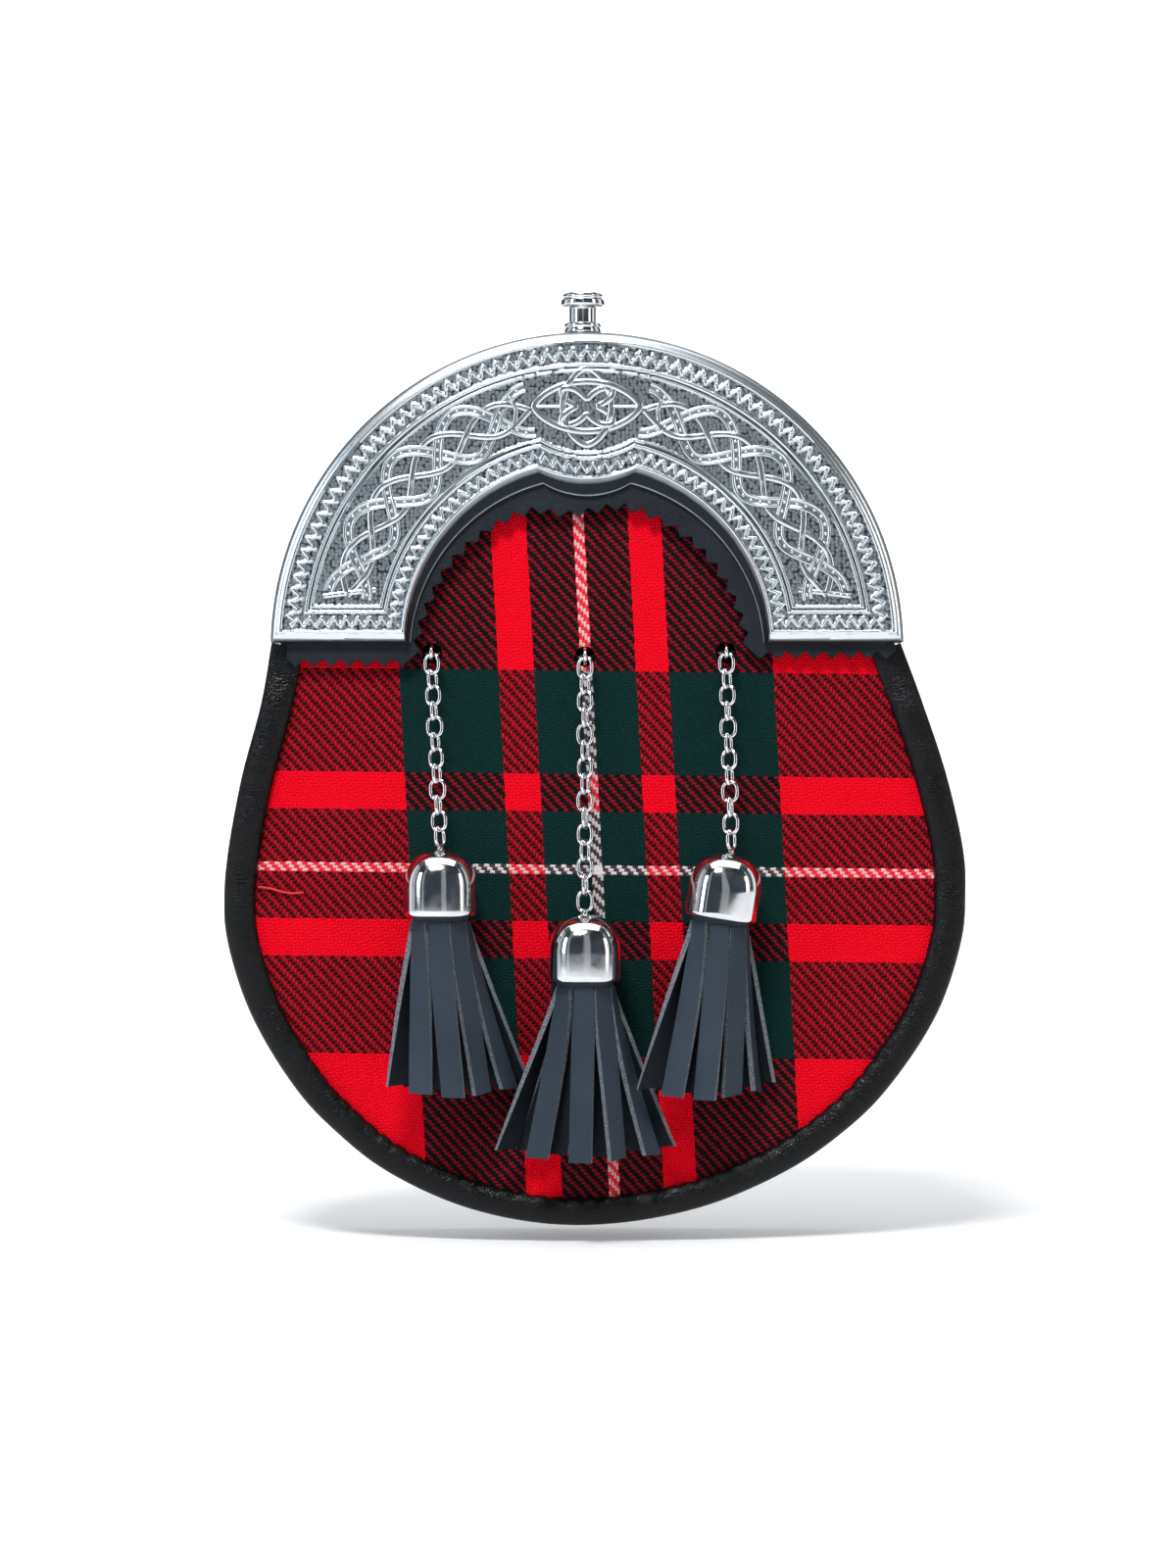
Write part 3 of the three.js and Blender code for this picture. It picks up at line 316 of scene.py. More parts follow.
# Strap loops.
# Two bands of 2 mm leather on the back, which the sporran's waist strap passes through. Each is bent to stand
# off the panel, with a foot at both ends sewn down by a box of stitches.

LOOP_SECTION = [
    (0.3, -21.5), (0.3, -13.9), (0.7, -13.5), (5.6, -13.3), (6.2, -12.7), (6.3, -11.5), (6.35, 0), (6.3, 11.5),
    (6.2, 12.7), (5.6, 13.3), (0.7, 13.5), (0.3, 13.9), (0.3, 21.5), (2.3, 21.5), (2.3, 16.2), (2.7, 15.5),
    (6.8, 15.2), (7.9, 14.2), (8.25, 12), (8.3, 0), (8.25, -12), (7.9, -14.2), (6.8, -15.2), (2.7, -15.5),
    (2.3, -16.2), (2.3, -21.5),
]
for side, middle in (("left", -45), ("right", 45)):
    points = [(middle + across, y, z) for across in (-7.5, -2.5, 2.5, 7.5) for y, z in LOOP_SECTION]
    size = len(LOOP_SECTION)
    faces = bands(size, 4)
    for r in (0, 3):  # each end is closed with quads between the band's two faces
        faces += [[r * size + k, r * size + k + 1, r * size + 24 - k, r * size + 25 - k] for k in range(12)]
    loop = piece(f"strap_loop_leather_{side}", points, faces)
    bevelled(loop, 0.35)
    crisp(loop)
    dress(loop, body_leather, "body_leather", f"strap_loop_{side}")
    box = []
    for foot in (-18.4, 18.4):
        for share in np.linspace(-1, 1, 5):
            for row in (-1.9, 1.9):
                at = Vector((middle + share * 5.4, 2.3, foot + row))
                box.append((at, Vector((1, 0, 0)), Vector((0, 1, 0))))
    dress(stitches(f"strap_loop_thread_{side}", box, 0.9 * STITCH), thread, "body_leather")

# Gusset.
# A band of soft 1.5 mm black leather between the face and the back. It folds inwards along its middle like a
# bellows, so the pocket opens for a wallet, and its front edge is caught in the rolled edge.

GUSSET_INSET = 2.5
EDGE_BACK = -11.4
gusset_front = EDGE_BACK + 0.3
rings = []
for share, x, z, ix, iz in pouch_stations(0.9, 260):
    depth = back_outer(z) - BACK_LEATHER - 0.3 - gusset_front
    slack = 0.35 * math.sin(share * 61) + 0.25 * math.sin(share * 143 + 1)
    tuck = depth * 0.3 + slack * min(1, depth / 12)
    rows = []
    for side in (0, LEATHER):
        line = []
        for t in (0, 0.12, 0.28, 0.4, 0.47, 0.5, 0.53, 0.6, 0.72, 0.88, 1):
            fold = 1 - abs(2 * t - 1)
            inset = GUSSET_INSET + side + tuck * (fold - 0.12 * fold**6)
            px, pz = x + ix * inset, z + iz * inset
            back = back_outer(pz) - BACK_LEATHER - 0.45
            line.append((px, gusset_front + (back - gusset_front) * t, pz))
        rows += line if side == 0 else line[::-1]
    rings.append(rows)


def loft(name, rings):
    """Rings of the same number of points joined into one skin, closed at both ends."""
    size, count = len(rings[0]), len(rings)
    faces = bands(size, count) + [[r * size + k for k in range(size)] for r in (0, count - 1)]
    return piece(name, [p for ring in rings for p in ring], faces)


gusset = loft("gusset_leather", rings)
crisp(gusset, 50)
dress(gusset, body_leather, "body_leather", "gusset")

# Tartan face.
# A worsted twill in red, green and white, stretched over a stiff leather board and glued down. Three punched
# holes let the chains through, and a few millimetres of one red weft thread are pulled.

FACE_FRONT = -16.2
CLOTH = 1.0
HOLES = ((-38.9, -2.6), (-0.5, -3.4), (34.8, -2.4))
HOLE_RADIUS = 2.55
face_edge = [(x + ix * 1.95, z + iz * 1.95) for _, x, z, ix, iz in pouch_stations(2.2, 170)]
face_top = 73.5
low, high = math.asin(2.0 / face_top), math.asin(61.7 / face_top)
face_arc = [(face_top * math.cos(a), face_top * math.sin(a) - CANTLE_DROP) for a in np.linspace(low, high, 14)]
face_edge += face_arc + [(-x, z) for x, z in reversed(face_arc)]


def cloth_depth(x, z):
    """The cloth lies flat but for faint waves, and dips at the rims of the holes."""
    wave = 0.06 * math.sin(x / 9.1 + 0.7 * math.sin(z / 13)) * math.sin(z / 11.3 + 1.1)
    dip = sum(0.75 * math.exp(-(((x - hx) ** 2 + (z - hz) ** 2) / 11.0)) for hx, hz in HOLES)
    return FACE_FRONT + 0.08 + wave + dip


def punched(obj, depth_low, depth_high):
    """Round holes cut through a panel from front to back."""
    for x, z in HOLES:
        bpy.ops.mesh.primitive_cylinder_add(
            vertices=40,
            radius=HOLE_RADIUS * MM,
            depth=(depth_high - depth_low) * MM,
            location=(x * MM, (depth_low + depth_high) / 2 * MM, z * MM),
            rotation=(math.pi / 2, 0, 0),
        )
        punch = bpy.context.object
        only(obj)
        cut = obj.modifiers.new("punch", "BOOLEAN")
        cut.object, cut.operation, cut.solver = punch, "DIFFERENCE", "EXACT"
        bpy.ops.object.modifier_apply(modifier=cut.name)
        bpy.data.objects.remove(punch)


board = tiled_outline("face_board", face_edge, lambda x, z: FACE_FRONT + CLOTH + 0.8, 1.2, 12)
punched(board, FACE_FRONT - 4, FACE_FRONT + 8)
crisp(board)
dress(board, body_leather, "body_leather")
face = tiled_outline("tartan_face", face_edge, cloth_depth, CLOTH, 2.6)
punched(face, FACE_FRONT - 4, FACE_FRONT + 8)
crisp(face)

# The cloth's own map counts millimetres across the warp and down the weft. The warp leans 3 degrees, as sewn.
WARP_LEAN = 0.054
WEFT_LEAN = 0.012
weave_map = face.data.uv_layers.new(name="weave")
for corner in face.data.loops:
    x, _, z = face.data.vertices[corner.vertex_index].co / MM
    weave_map.data[corner.index].uv = (x - WARP_LEAN * (-35.4 - z), -z - WEFT_LEAN * x)

# Each thread is drawn: 0.69 mm a warp end and 0.79 mm a weft pick, in 2/2 twill, so the colours mix as they do
# in the cloth. Red over red is solid, and red over green gives the dark diagonal lines.
WARP_THREAD = 0.69
WEFT_THREAD = 0.785
TWILL_REPEAT = 4.0  # threads before the twill's steps come round again
RED, GREEN, WHITE = "ec051e", "0c2b29", "f4ecec"
WARP_STRIPES = (  # where a stripe ends, and its colour
    (-46.3, RED), (-21.3, GREEN), (-12.7, RED), (-0.4, GREEN), (1.75, WHITE), (13.7, GREEN), (22.3, RED),
    (47.3, GREEN), (110, RED),
)
WEFT_STRIPES = (
    (6.5, RED), (32.9, GREEN), (41.7, RED), (55.6, GREEN), (58.0, WHITE), (69.9, GREEN), (78.3, RED),
    (103.3, GREEN), (160, RED),
)

tartan = new_finish("red_green_white_tartan_twill", Roughness=0.9, Specular_IOR_Level=0.06)
on_cloth = node(tartan, "UVMap", uv_map="weave")
across, down = (node(tartan, "SeparateXYZ", (on_cloth,), out) for out in ("X", "Y"))

# Yarn is never quite even, so the thread lines wander by about a tenth of a millimetre.
uneven = node(tartan, "TexNoise", {"Vector": on_cloth, "Scale": 0.55, "Detail": 2.0}, noise_dimensions="2D")
wander = node(tartan, "Math", (uneven, 0.5, -0.25), operation="MULTIPLY_ADD")
warp_run = node(tartan, "Math", (across, wander), operation="ADD")
warp_run = node(tartan, "Math", (warp_run, WARP_THREAD), operation="DIVIDE")
weft_run = node(tartan, "Math", (down, wander), operation="SUBTRACT")
weft_run = node(tartan, "Math", (weft_run, WEFT_THREAD), operation="DIVIDE")
warp_end, weft_pick = (node(tartan, "Math", (run,), operation="FLOOR") for run in (warp_run, weft_run))
order = node(tartan, "Math", (warp_end, weft_pick), operation="SUBTRACT")
order = node(tartan, "Math", (order, TWILL_REPEAT), operation="FLOORED_MODULO")
warp_up = node(tartan, "Math", (order, 1.5), operation="LESS_THAN")
weft_up = node(tartan, "Math", (1.0, warp_up), operation="SUBTRACT")


def stripes(run, thread, rows, low, high):
    """The colour of the thread that a point lies on, from the list of stripes between low and high."""
    place = node(tartan, "Math", (run, thread, thread / 2), operation="MULTIPLY_ADD")
    place = node(tartan, "MapRange", {0: place, 1: low, 2: high})
    colour = node(tartan, "ValToRGB", (place,))
    ramp = colour.node.color_ramp
    ramp.interpolation = "CONSTANT"
    starts = [low] + [end for end, _ in rows[:-1]]
    while len(ramp.elements) < len(rows):
        ramp.elements.new(0.5)
    for band, start, (_, dye) in zip(ramp.elements, starts, rows):
        band.position = (start - low) / (high - low)
        band.color = linear(dye)
    return colour


warp_colour = stripes(warp_end, WARP_THREAD, WARP_STRIPES, -110, 110)
weft_colour = stripes(weft_pick, WEFT_THREAD, WEFT_STRIPES, -70, 160)
top_colour = node(tartan, "Mix", {0: warp_up, 6: weft_colour, 7: warp_colour}, 2, data_type="RGBA")
under_colour = node(tartan, "Mix", {0: warp_up, 6: warp_colour, 7: weft_colour}, 2, data_type="RGBA")
apart = node(tartan, "VectorMath", (top_colour, under_colour), "Value", operation="DISTANCE")
mixed = node(tartan, "Math", (apart, 0.02), operation="GREATER_THAN")
red_top, pale_top = (node(tartan, "SeparateColor", (top_colour,), out) for out in ("Red", "Green"))
red_under, pale_under = (node(tartan, "SeparateColor", (under_colour,), out) for out in ("Red", "Green"))
palest = node(tartan, "Math", (pale_top, pale_under), operation="MAXIMUM")
no_white = node(tartan, "Math", (palest, 0.5), operation="LESS_THAN")
dulled = node(tartan, "Math", (mixed, no_white), operation="MULTIPLY")
cling = node(tartan, "Math", (dulled, 0.27, 0.3), operation="MULTIPLY_ADD")
cling = node(tartan, "Math", (red_under, 0.3, cling), operation="MULTIPLY_ADD")

# Fibres of the thread below cling to the one above, so red over green is dulled, most of all in the weft, and
# red takes a pink halo beside white.
clung = top_colour
for kind, where, also, share, colour in (
    ("MULTIPLY", mixed, cling, 1.0, under_colour),
    ("ADD", dulled, 1.0, 0.04, linear("7a3034")),
    ("ADD", dulled, red_top, 0.035, linear("ff7890")),
    ("ADD", mixed, pale_under, 0.12, linear("ff90b0")),
    ("MULTIPLY", dulled, weft_up, 0.45, linear("303030")),
):
    amount = node(tartan, "Math", (where, also), operation="MULTIPLY")
    amount = node(tartan, "Math", (amount, share), operation="MULTIPLY")
    clung = node(tartan, "Mix", {0: amount, 6: clung, 7: colour}, 2, data_type="RGBA", blend_type=kind)

# Between two threads the darker colour shows, in shade.
shade = node(tartan, "Math", (mixed, -0.22, 0.72), operation="MULTIPLY_ADD")
gap = node(tartan, "Mix", {0: 1.0, 6: top_colour, 7: under_colour}, 2, data_type="RGBA", blend_type="DARKEN")
gap = node(tartan, "Mix", {0: 1.0, 6: gap, 7: shade}, 2, data_type="RGBA", blend_type="MULTIPLY")
seen_under = node(tartan, "Math", (dulled, weft_up), operation="MULTIPLY")
seen_under = node(tartan, "Math", (seen_under, 0.4), operation="MULTIPLY")
gap = node(tartan, "Mix", {0: seen_under, 6: gap, 7: under_colour}, 2, data_type="RGBA")


def hump(run, length, start=0.0):
    """0 at both ends of a float or both sides of a thread, and 1 in its middle."""
    wave = node(tartan, "Math", (run, math.pi / length, -start * math.pi / length), operation="MULTIPLY_ADD")
    wave = node(tartan, "Math", (wave,), operation="SINE")
    wave = node(tartan, "Math", (wave, 0.0), operation="MAXIMUM")
    return node(tartan, "Math", (wave, 0.6), operation="POWER")


def thread_height(run, lead, start):
    """How high a thread stands across its own width and along the two threads that it passes over."""
    in_thread = node(tartan, "Math", (run,), operation="FRACT")
    in_float = node(tartan, "Math", (lead, TWILL_REPEAT), operation="FLOORED_MODULO")
    return node(tartan, "Math", (hump(in_thread, 1.0), hump(in_float, 2.0, start)), operation="MULTIPLY")


warp_lead = node(tartan, "Math", (warp_end, 1.0), operation="ADD")
warp_lead = node(tartan, "Math", (warp_lead, weft_run), operation="SUBTRACT")
weft_lead = node(tartan, "Math", (warp_run, weft_pick), operation="SUBTRACT")
warp_height, weft_height = thread_height(warp_run, warp_lead, 0.0), thread_height(weft_run, weft_lead, 2.0)
height = node(tartan, "Mix", {0: warp_up, 2: weft_height, 3: warp_height}, data_type="FLOAT")
fuzz = node(tartan, "TexNoise", {"Vector": on_cloth, "Scale": 4.5, "Detail": 4.0}, noise_dimensions="2D")
# Each thread falls off into the painted shade of the gaps towards its sides and the ends of its floats, pale
# threads less.
lift = node(tartan, "MapRange", {0: height, 1: 0.08, 2: 0.75})
lift = node(tartan, "Math", (pale_top, 0.55, lift), operation="MULTIPLY_ADD")
lift = node(tartan, "Math", (lift, 1.0), operation="MINIMUM")
colour = node(tartan, "Mix", {0: lift, 6: gap, 7: clung}, 2, data_type="RGBA")
fuzzed = node(tartan, "Math", (fuzz, 0.4, 0.8), operation="MULTIPLY_ADD")
colour = node(tartan, "Mix", {0: 1.0, 6: colour, 7: fuzzed}, 2, data_type="RGBA", blend_type="MULTIPLY")
rise = node(tartan, "Math", (fuzz, 0.5, height), operation="MULTIPLY_ADD")
bump = node(tartan, "Bump", {"Height": rise, "Strength": 0.8, "Distance": 0.3 * MM})
coat(tartan, Base_Color=colour, Normal=bump)
dress(face, tartan, "tartan", "front_panel")
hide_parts("front_panel")

PULL_START, PULL_LENGTH, PULL_POINTS = Vector((-82.5, FACE_FRONT - 0.15, -61.2)), 11.5, 13
pull = []
for t in np.linspace(0, 1, PULL_POINTS):
    sag = Vector((PULL_LENGTH * t, -0.5 * math.sin(math.pi * t), -1.6 * t**0.7 + 0.3 * math.sin(7 * t)))
    ring = [Vector((0, math.cos(k * math.pi / 3), math.sin(k * math.pi / 3))) * 0.3 for k in range(6)]
    pull.append([PULL_START + sag + point for point in ring])
pulled_thread = loft("pulled_red_thread", pull)
pulled_yarn = new_finish("red_worsted_yarn", Roughness=0.8, Sheen_Weight=0.3)
mottled(pulled_yarn, 3000.0, 2.0, "b00410", "f2202c")
dress(pulled_thread, pulled_yarn, "tartan")

# Rolled edge.
# A strip of soft black leather turned over the face's raw edge into a half-round roll and sewn through. It is
# full at the sides and bottom, flat under the trim, and gathers into small puckers where it turns the corner.

EDGE_WIDTH, EDGE_WIDTH_BOTTOM = 8, 6.9
SEAT = FACE_FRONT - 0.3


def eased(value, low, high):
    t = min(1, max(0, (value - low) / (high - low)))
    return t * t * (3 - 2 * t)


rings = []
for share, x, z, ix, iz in pouch_stations(0.02, 620):
    run = share * POUCH_LENGTH
    bottom = math.sin(math.pi * share) ** 4
    width = EDGE_WIDTH + (EDGE_WIDTH_BOTTOM - EDGE_WIDTH) * bottom
    rise = 1.2 + 1.4 * eased(-z, 6.7, 16)
    pull_in = 0.12 + 0.88 * eased(math.sin(math.pi * share), 0.62, 0.93)
    gather = 0.5 + 0.5 * math.sin(2 * math.pi * (run / 4.7 + 0.35 * math.sin(run / 17)))
    gather = pull_in * (gather**3) * (0.75 + 0.25 * math.sin(run / 7.3))
    ripple = 0.05 * math.sin(run / 1.9 + 2 * math.sin(run / 9))
    profile = []
    for k in range(17):
        turn = math.pi * k / 16
        near = math.exp(-((turn / 0.75) ** 2))
        inset = width / 2 * (1 + math.cos(turn)) - 0.55 * gather * near
        up = rise * math.sin(turn) ** 0.72 * (1 - 0.42 * gather * near) + ripple * math.sin(turn)
        profile.append((inset, SEAT - up))
    profile += [(0.12, -14.9), (0.45, -13.1), (1.1, -11.8), (2.1, EDGE_BACK), (6, EDGE_BACK), (6, -12.9)]
    profile += [(1.5, -12.9), (1.5, SEAT + 0.15)]
    rings.append([(x + ix * d, y, z + iz * d) for d, y in profile])
binding = loft("rolled_edge_leather", rings)
crisp(binding, 60)
# Glazed black calf: darker and shinier than the body, with a grain that the roll has pulled nearly smooth.
edge_leather = leather(
    "black_rolled_edge_leather", "040506", "0b0d0f", 0.27, 0.7, 0.26,
    Specular_IOR_Level=0.2, Coat_Weight=0.02, Coat_Roughness=0.25,
)
dress(binding, edge_leather, "edge_leather", "edge_binding")

# Pinked trim.
# A piece of 1.3 mm slate-grey leather between the cantle and the cloth. Its edge is cut with pinking shears
# into points round the arch and below both feet.

TRIM_FRONT = -19.3
TOOTH_PITCH, TOOTH_DEPTH = 4.7, 2
LEFT_END, RIGHT_END, LEFT_HANG, RIGHT_HANG = 75, 77, 4.2, 2.2
NOTCH_ROWS = (  # x and z of the line that the notches reach, from the left foot over the arch to the right foot
    (-44.0, -4.2), (-42.6, 4.4), (-39.9, 11.4), (-35.5, 19.6), (-28.4, 26.6), (-20.2, 31.8), (-12.6, 34.0),
    (-5.9, 32.9), (1.4, 33.9), (8.5, 34.9), (15.6, 32.9), (22.0, 29.5), (28.8, 24.2), (34.2, 17.4), (38.2, 9.6),
    (40.6, 1.6), (41.0, -2.2),
)


def pinked(line, runs, pitch, depth):
    """Points and notches turn about along a line, with the points to its right."""
    count, rows = round(runs[-1] / pitch), []
    for i in range(2 * count):
        run = (i * 0.5) * runs[-1] / count
        x, z = (np.interp(run, runs, line[:, k]) for k in (0, 1))
        along = heading(run, runs, line, 1.5)
        out = depth * (i % 2)
        rows.append((x + along[1] * out, z - along[0] * out))
    return rows


trim_edge = []
for rows in (((-LEFT_END, -LEFT_HANG), NOTCH_ROWS[0]), NOTCH_ROWS, (NOTCH_ROWS[-1], (RIGHT_END, -RIGHT_HANG))):
    trim_edge += pinked(*outline_curve([Vector(row) for row in rows]), TOOTH_PITCH, TOOTH_DEPTH)
trim_edge += [(RIGHT_END, -RIGHT_HANG), (RIGHT_END, -0.3)]
trim_top, trim_ceiling = 74.3, 69.9
start = math.asin(CANTLE_DROP / trim_top)
for angle in np.linspace(start, math.pi - start, 24):
    trim_edge.append((trim_top * math.cos(angle), min(trim_ceiling, trim_top * math.sin(angle) - CANTLE_DROP)))
trim_edge.append((-LEFT_END, -0.3))

count = len(trim_edge)
points = [(x, y, z) for y in (TRIM_FRONT, TRIM_FRONT + 1.25) for x, z in trim_edge]
faces = [list(range(count)), [count + k for k in reversed(range(count))]]
faces += bands(count, 2)
trim = piece("pinked_trim_leather", points, faces)
bevelled(trim, 0.15, 1)
crisp(trim)
# Dyed through and left matt, so it looks slate grey beside the glazed edge.
trim_leather = leather("slate_trim_leather", "14181c", "262b32", 0.42, 0.8, 0.3, Specular_IOR_Level=0.12)
dress(trim, trim_leather, "trim_leather", "cantle_trim")

# Back frame and hinge pins.
# A bent steel frame, satin plated, that closes the pouch's mouth behind the cantle. A riveted pin through each
# end is the hinge that the cantle opens on.

# Satin nickel over brushed steel: a soft grey shine with no clear reflection.
frame_metal = new_finish("satin_plated_steel", Metallic=1.0, Roughness=0.34)
brushing = mottled(frame_metal, 420.0, 6.0, "8e9094", "c2c4c7")
frame_gloss = node(frame_metal, "MapRange", {0: brushing, 3: 0.24, 4: 0.44})
frame_bump = node(frame_metal, "Bump", {"Height": brushing, "Strength": 0.15, "Distance": 0.05 * MM})
coat(frame_metal, Roughness=frame_gloss, Normal=frame_bump)
steel_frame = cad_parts["back_frame"]
steel_frame.data.materials.clear()
steel_frame.data.materials.append(frame_metal)


def turned(name, profile, steps=72, body="pouch", turn=None):
    """A profile of radius and height spun round the z axis, then turned and moved into place."""
    mesh = bpy.data.meshes.new(name)
    links = [(i, i + 1) for i in range(len(profile) - 1)]
    mesh.from_pydata([(r * MM, 0, h * MM) for r, h in profile], links, [])
    made = shown(name, mesh)
    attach(made, body)
    only(made)
    bpy.ops.object.mode_set(mode="EDIT")
    bpy.ops.mesh.select_all(action="SELECT")
    bpy.ops.mesh.spin(steps=steps, angle=2 * math.pi, center=(0, 0, 0), axis=(0, 0, 1))
    bpy.ops.mesh.select_all(action="SELECT")
    bpy.ops.mesh.remove_doubles(threshold=1e-6)
    bpy.ops.mesh.normals_make_consistent(inside=False)
    bpy.ops.object.mode_set(mode="OBJECT")
    mesh.transform(turn or Matrix())
    mesh.shade_smooth()
    return made


PIN_PROFILE = (  # radius and distance from the middle: the riveted end, the shank and the domed head
    (0, 72.6), (1.7, 72.6), (2, 72.8), (2, 73.4), (1.2, 73.4), (1.2, 78.2), (2, 78.2), (1.85, 78.75), (1.2, 79.0),
    (0, 79.1),
)
for side, mirror in (("left", -1), ("right", 1)):
    across = Matrix.Translation((0, -0.0066, 0.0045)) @ Matrix.Rotation(mirror * math.pi / 2, 4, "Y")
    pin = turned(f"hinge_pin_steel_{side}", PIN_PROFILE, 32, turn=across)
    crisp(pin, 40)
    dress(pin, frame_metal, "frame_metal", f"hinge_pin_{side}")

# Cantle.
# The half-round metal top, cast in one piece with a skirt behind it. Its face is chased: a bevelled rim, two
# zigzag bands between ridges, and a pebbled ground that carries interlaced, beaded straps and a middle knot.

PLATE_BACK, PLATE_GROUND, SKIRT_BACK = -19.6, -22.0, -9.3
ROWS, COLUMNS = 700, 112
ARCH, LOBE = (44.2, -3.3), (20.7, 57.2)  # radius and height of the circles that the opening's edge follows
CHASED_ARCH, CHASED_LOBE = (45.6, -0.7), (29, 69.4)  # and of those where the chased face ends


def to_circle(angle, radius, height):
    """Distance from the cantle's centre to a circle about (0, height), far side and near side."""
    rise = height + CANTLE_DROP
    root = np.sqrt(np.maximum(radius**2 - (rise * np.cos(angle)) ** 2, 0))
    near = np.where(radius > abs(rise * np.cos(angle)), rise * np.sin(angle) - root, 1e6)
    return rise * np.sin(angle) + root, near


def opening(angle):
    """The opening's edge where the bevel ends."""
    return np.minimum(to_circle(angle, *ARCH)[0], to_circle(angle, *LOBE)[1])


def chased_edge(angle):
    """The opening's edge on the chased face."""
    return np.minimum(to_circle(angle, *CHASED_ARCH)[0], to_circle(angle, *CHASED_LOBE)[1])


def cantle_column(reach):
    """x and z along the cantle for a distance from its centre that may change with the angle."""
    share = np.linspace(0, 1, ROWS)
    angle = share * math.pi
    for _ in range(4):
        foot = np.arcsin(CANTLE_DROP / reach(angle))
        angle = foot + share * (math.pi - 2 * foot)
    r = reach(angle)
    return r * np.cos(angle), r * np.sin(angle) - CANTLE_DROP, angle


columns = []
for t in np.linspace(0, 1, COLUMNS):
    columns.append(cantle_column(lambda a, t=t: CANTLE_RADIUS + (chased_edge(a) - CANTLE_RADIUS) * t))
face_x, face_z, face_angle = (np.stack([c[k] for c in columns], axis=1) for k in range(3))
face_z = np.maximum(face_z, 0)

# How deep a point lies from each border, with the three zigzag bands brought to one width.
BAND = 5.4
BAND_START = 2.8
OUTER_BAND_RADIUS = 73.5


def border(depth, band):
    inside = BAND_START + (depth - BAND_START) * BAND / band
    return np.where(depth < BAND_START, depth, np.where(depth < BAND_START + band, inside, depth - band + BAND))


r_out = np.hypot(face_x, face_z + CANTLE_DROP)
from_outer = border(CANTLE_RADIUS - r_out, BAND)
from_foot = border(face_z, 4.5)
arch_gap = np.hypot(face_x, face_z - CHASED_ARCH[1]) - CHASED_ARCH[0]
lobe_gap = CHASED_LOBE[0] - np.hypot(face_x, face_z - CHASED_LOBE[1])
from_inner = border(np.maximum(arch_gap, lobe_gap) + 2.0, 4.4)
depth = np.minimum(np.minimum(from_outer, from_foot), from_inner)
along_outer = face_angle * OUTER_BAND_RADIUS
inner_x, inner_z, inner_angle = cantle_column(lambda a: chased_edge(a) + 3)
inner_run = np.concatenate([[0], np.cumsum(np.hypot(np.diff(inner_x), np.diff(inner_z)))])
along_inner = np.interp(face_angle.ravel(), inner_angle, inner_run).reshape(face_angle.shape)
ZIGZAG_SWING, ZIGZAG_HALF = 1.3, 0.44


def zigzag(along, length, pitch):
    """A raised wire that swings from side to side of its band."""
    pitch = length / round(length / pitch)
    swing = 4 * np.abs((along / pitch) % 1 - 0.5) - 1
    away = np.abs(depth - 5.5 - ZIGZAG_SWING * swing) / math.hypot(1, 4 * ZIGZAG_SWING / pitch)
    return np.sqrt(np.maximum(1 - (away / ZIGZAG_HALF) ** 2, 0))


is_outer = (from_outer <= from_foot) & (from_outer <= from_inner)
is_foot = ~is_outer & (from_foot <= from_inner)
wire = np.where(
    is_outer,
    zigzag(along_outer, OUTER_BAND_RADIUS * math.pi, 3.25),
    np.where(is_foot, zigzag(face_x, 33, 3.1), zigzag(along_inner, inner_run[-1], 2.95)),
)
in_band = (depth > 2.9) & (depth < 8.1)


def ridge(middle, half):
    return np.sqrt(np.maximum(1 - ((depth - middle) / half) ** 2, 0))


# The straps of the knots: each is a line of points, closed or open, with its half width and its beads' pitch.
FIELD_MIDDLE = 60.8
LOOPS = 2
straps = []


def side_strap(mirror, phase, sway, turn, half, bead):
    rows = []
    for share in np.linspace(0, 1, 150):
        angle = math.radians(12.5 + 64 * share)
        swell = sway * min(1, 0.72 + 0.7 * share) * (1 - 0.12 * eased(share, 0.6, 1))
        r = FIELD_MIDDLE + 0.3 + phase * swell * math.cos(2 * math.pi * LOOPS * share + turn)
        rows.append((mirror * r * math.cos(angle), r * math.sin(angle) - CANTLE_DROP))
    straps.append((np.array(rows), False, half, bead))


def bar(points, half, bead):
    points = np.array(points, float)
    steps = np.linspace(0, len(points) - 1, 24)
    line = np.stack([np.interp(steps, range(len(points)), points[:, k]) for k in (0, 1)], 1)
    straps.append((line, False, half, bead))


for mirror in (-1, 1):
    for phase in (1, -1):
        side_strap(mirror, phase, 6.6, 0, 1.4, 2.3)
    for phase in (1, -1):
        side_strap(mirror, phase, 4.2, math.pi / 2, 0.86, 0)
    bar([(mirror * 65.6, 11.4), (mirror * 59, 12.2), (mirror * 52.6, 12.9)], 0.75, 1.6)
    bar([(mirror * 19.5, 62.4), (mirror * 17.6, 57.5), (mirror * 18.3, 52.6)], 0.6, 0)

KNOT_MIDDLE = 58.6
turns = np.linspace(0, 2 * math.pi, 160, endpoint=False)
cosine, sine = np.cos(turns), np.sin(turns)
petal = 5.6 + 2.9 * np.cos(4 * turns)
for x, z in (
    (13.2 * cosine, 6.2 * sine * np.abs(sine) ** 0.4),
    (6.1 * sine * np.abs(sine) ** 0.3, 9.6 * cosine),
    (petal * np.cos(turns + math.pi / 4), 0.72 * petal * np.sin(turns + math.pi / 4)),
):
    straps.append((np.stack([x, z + KNOT_MIDDLE], 1), True, 0.95, 0))
bar([(-12.6, KNOT_MIDDLE), (-6.4, KNOT_MIDDLE)], 0.45, 0)
bar([(12.6, KNOT_MIDDLE), (6.4, KNOT_MIDDLE)], 0.45, 0)

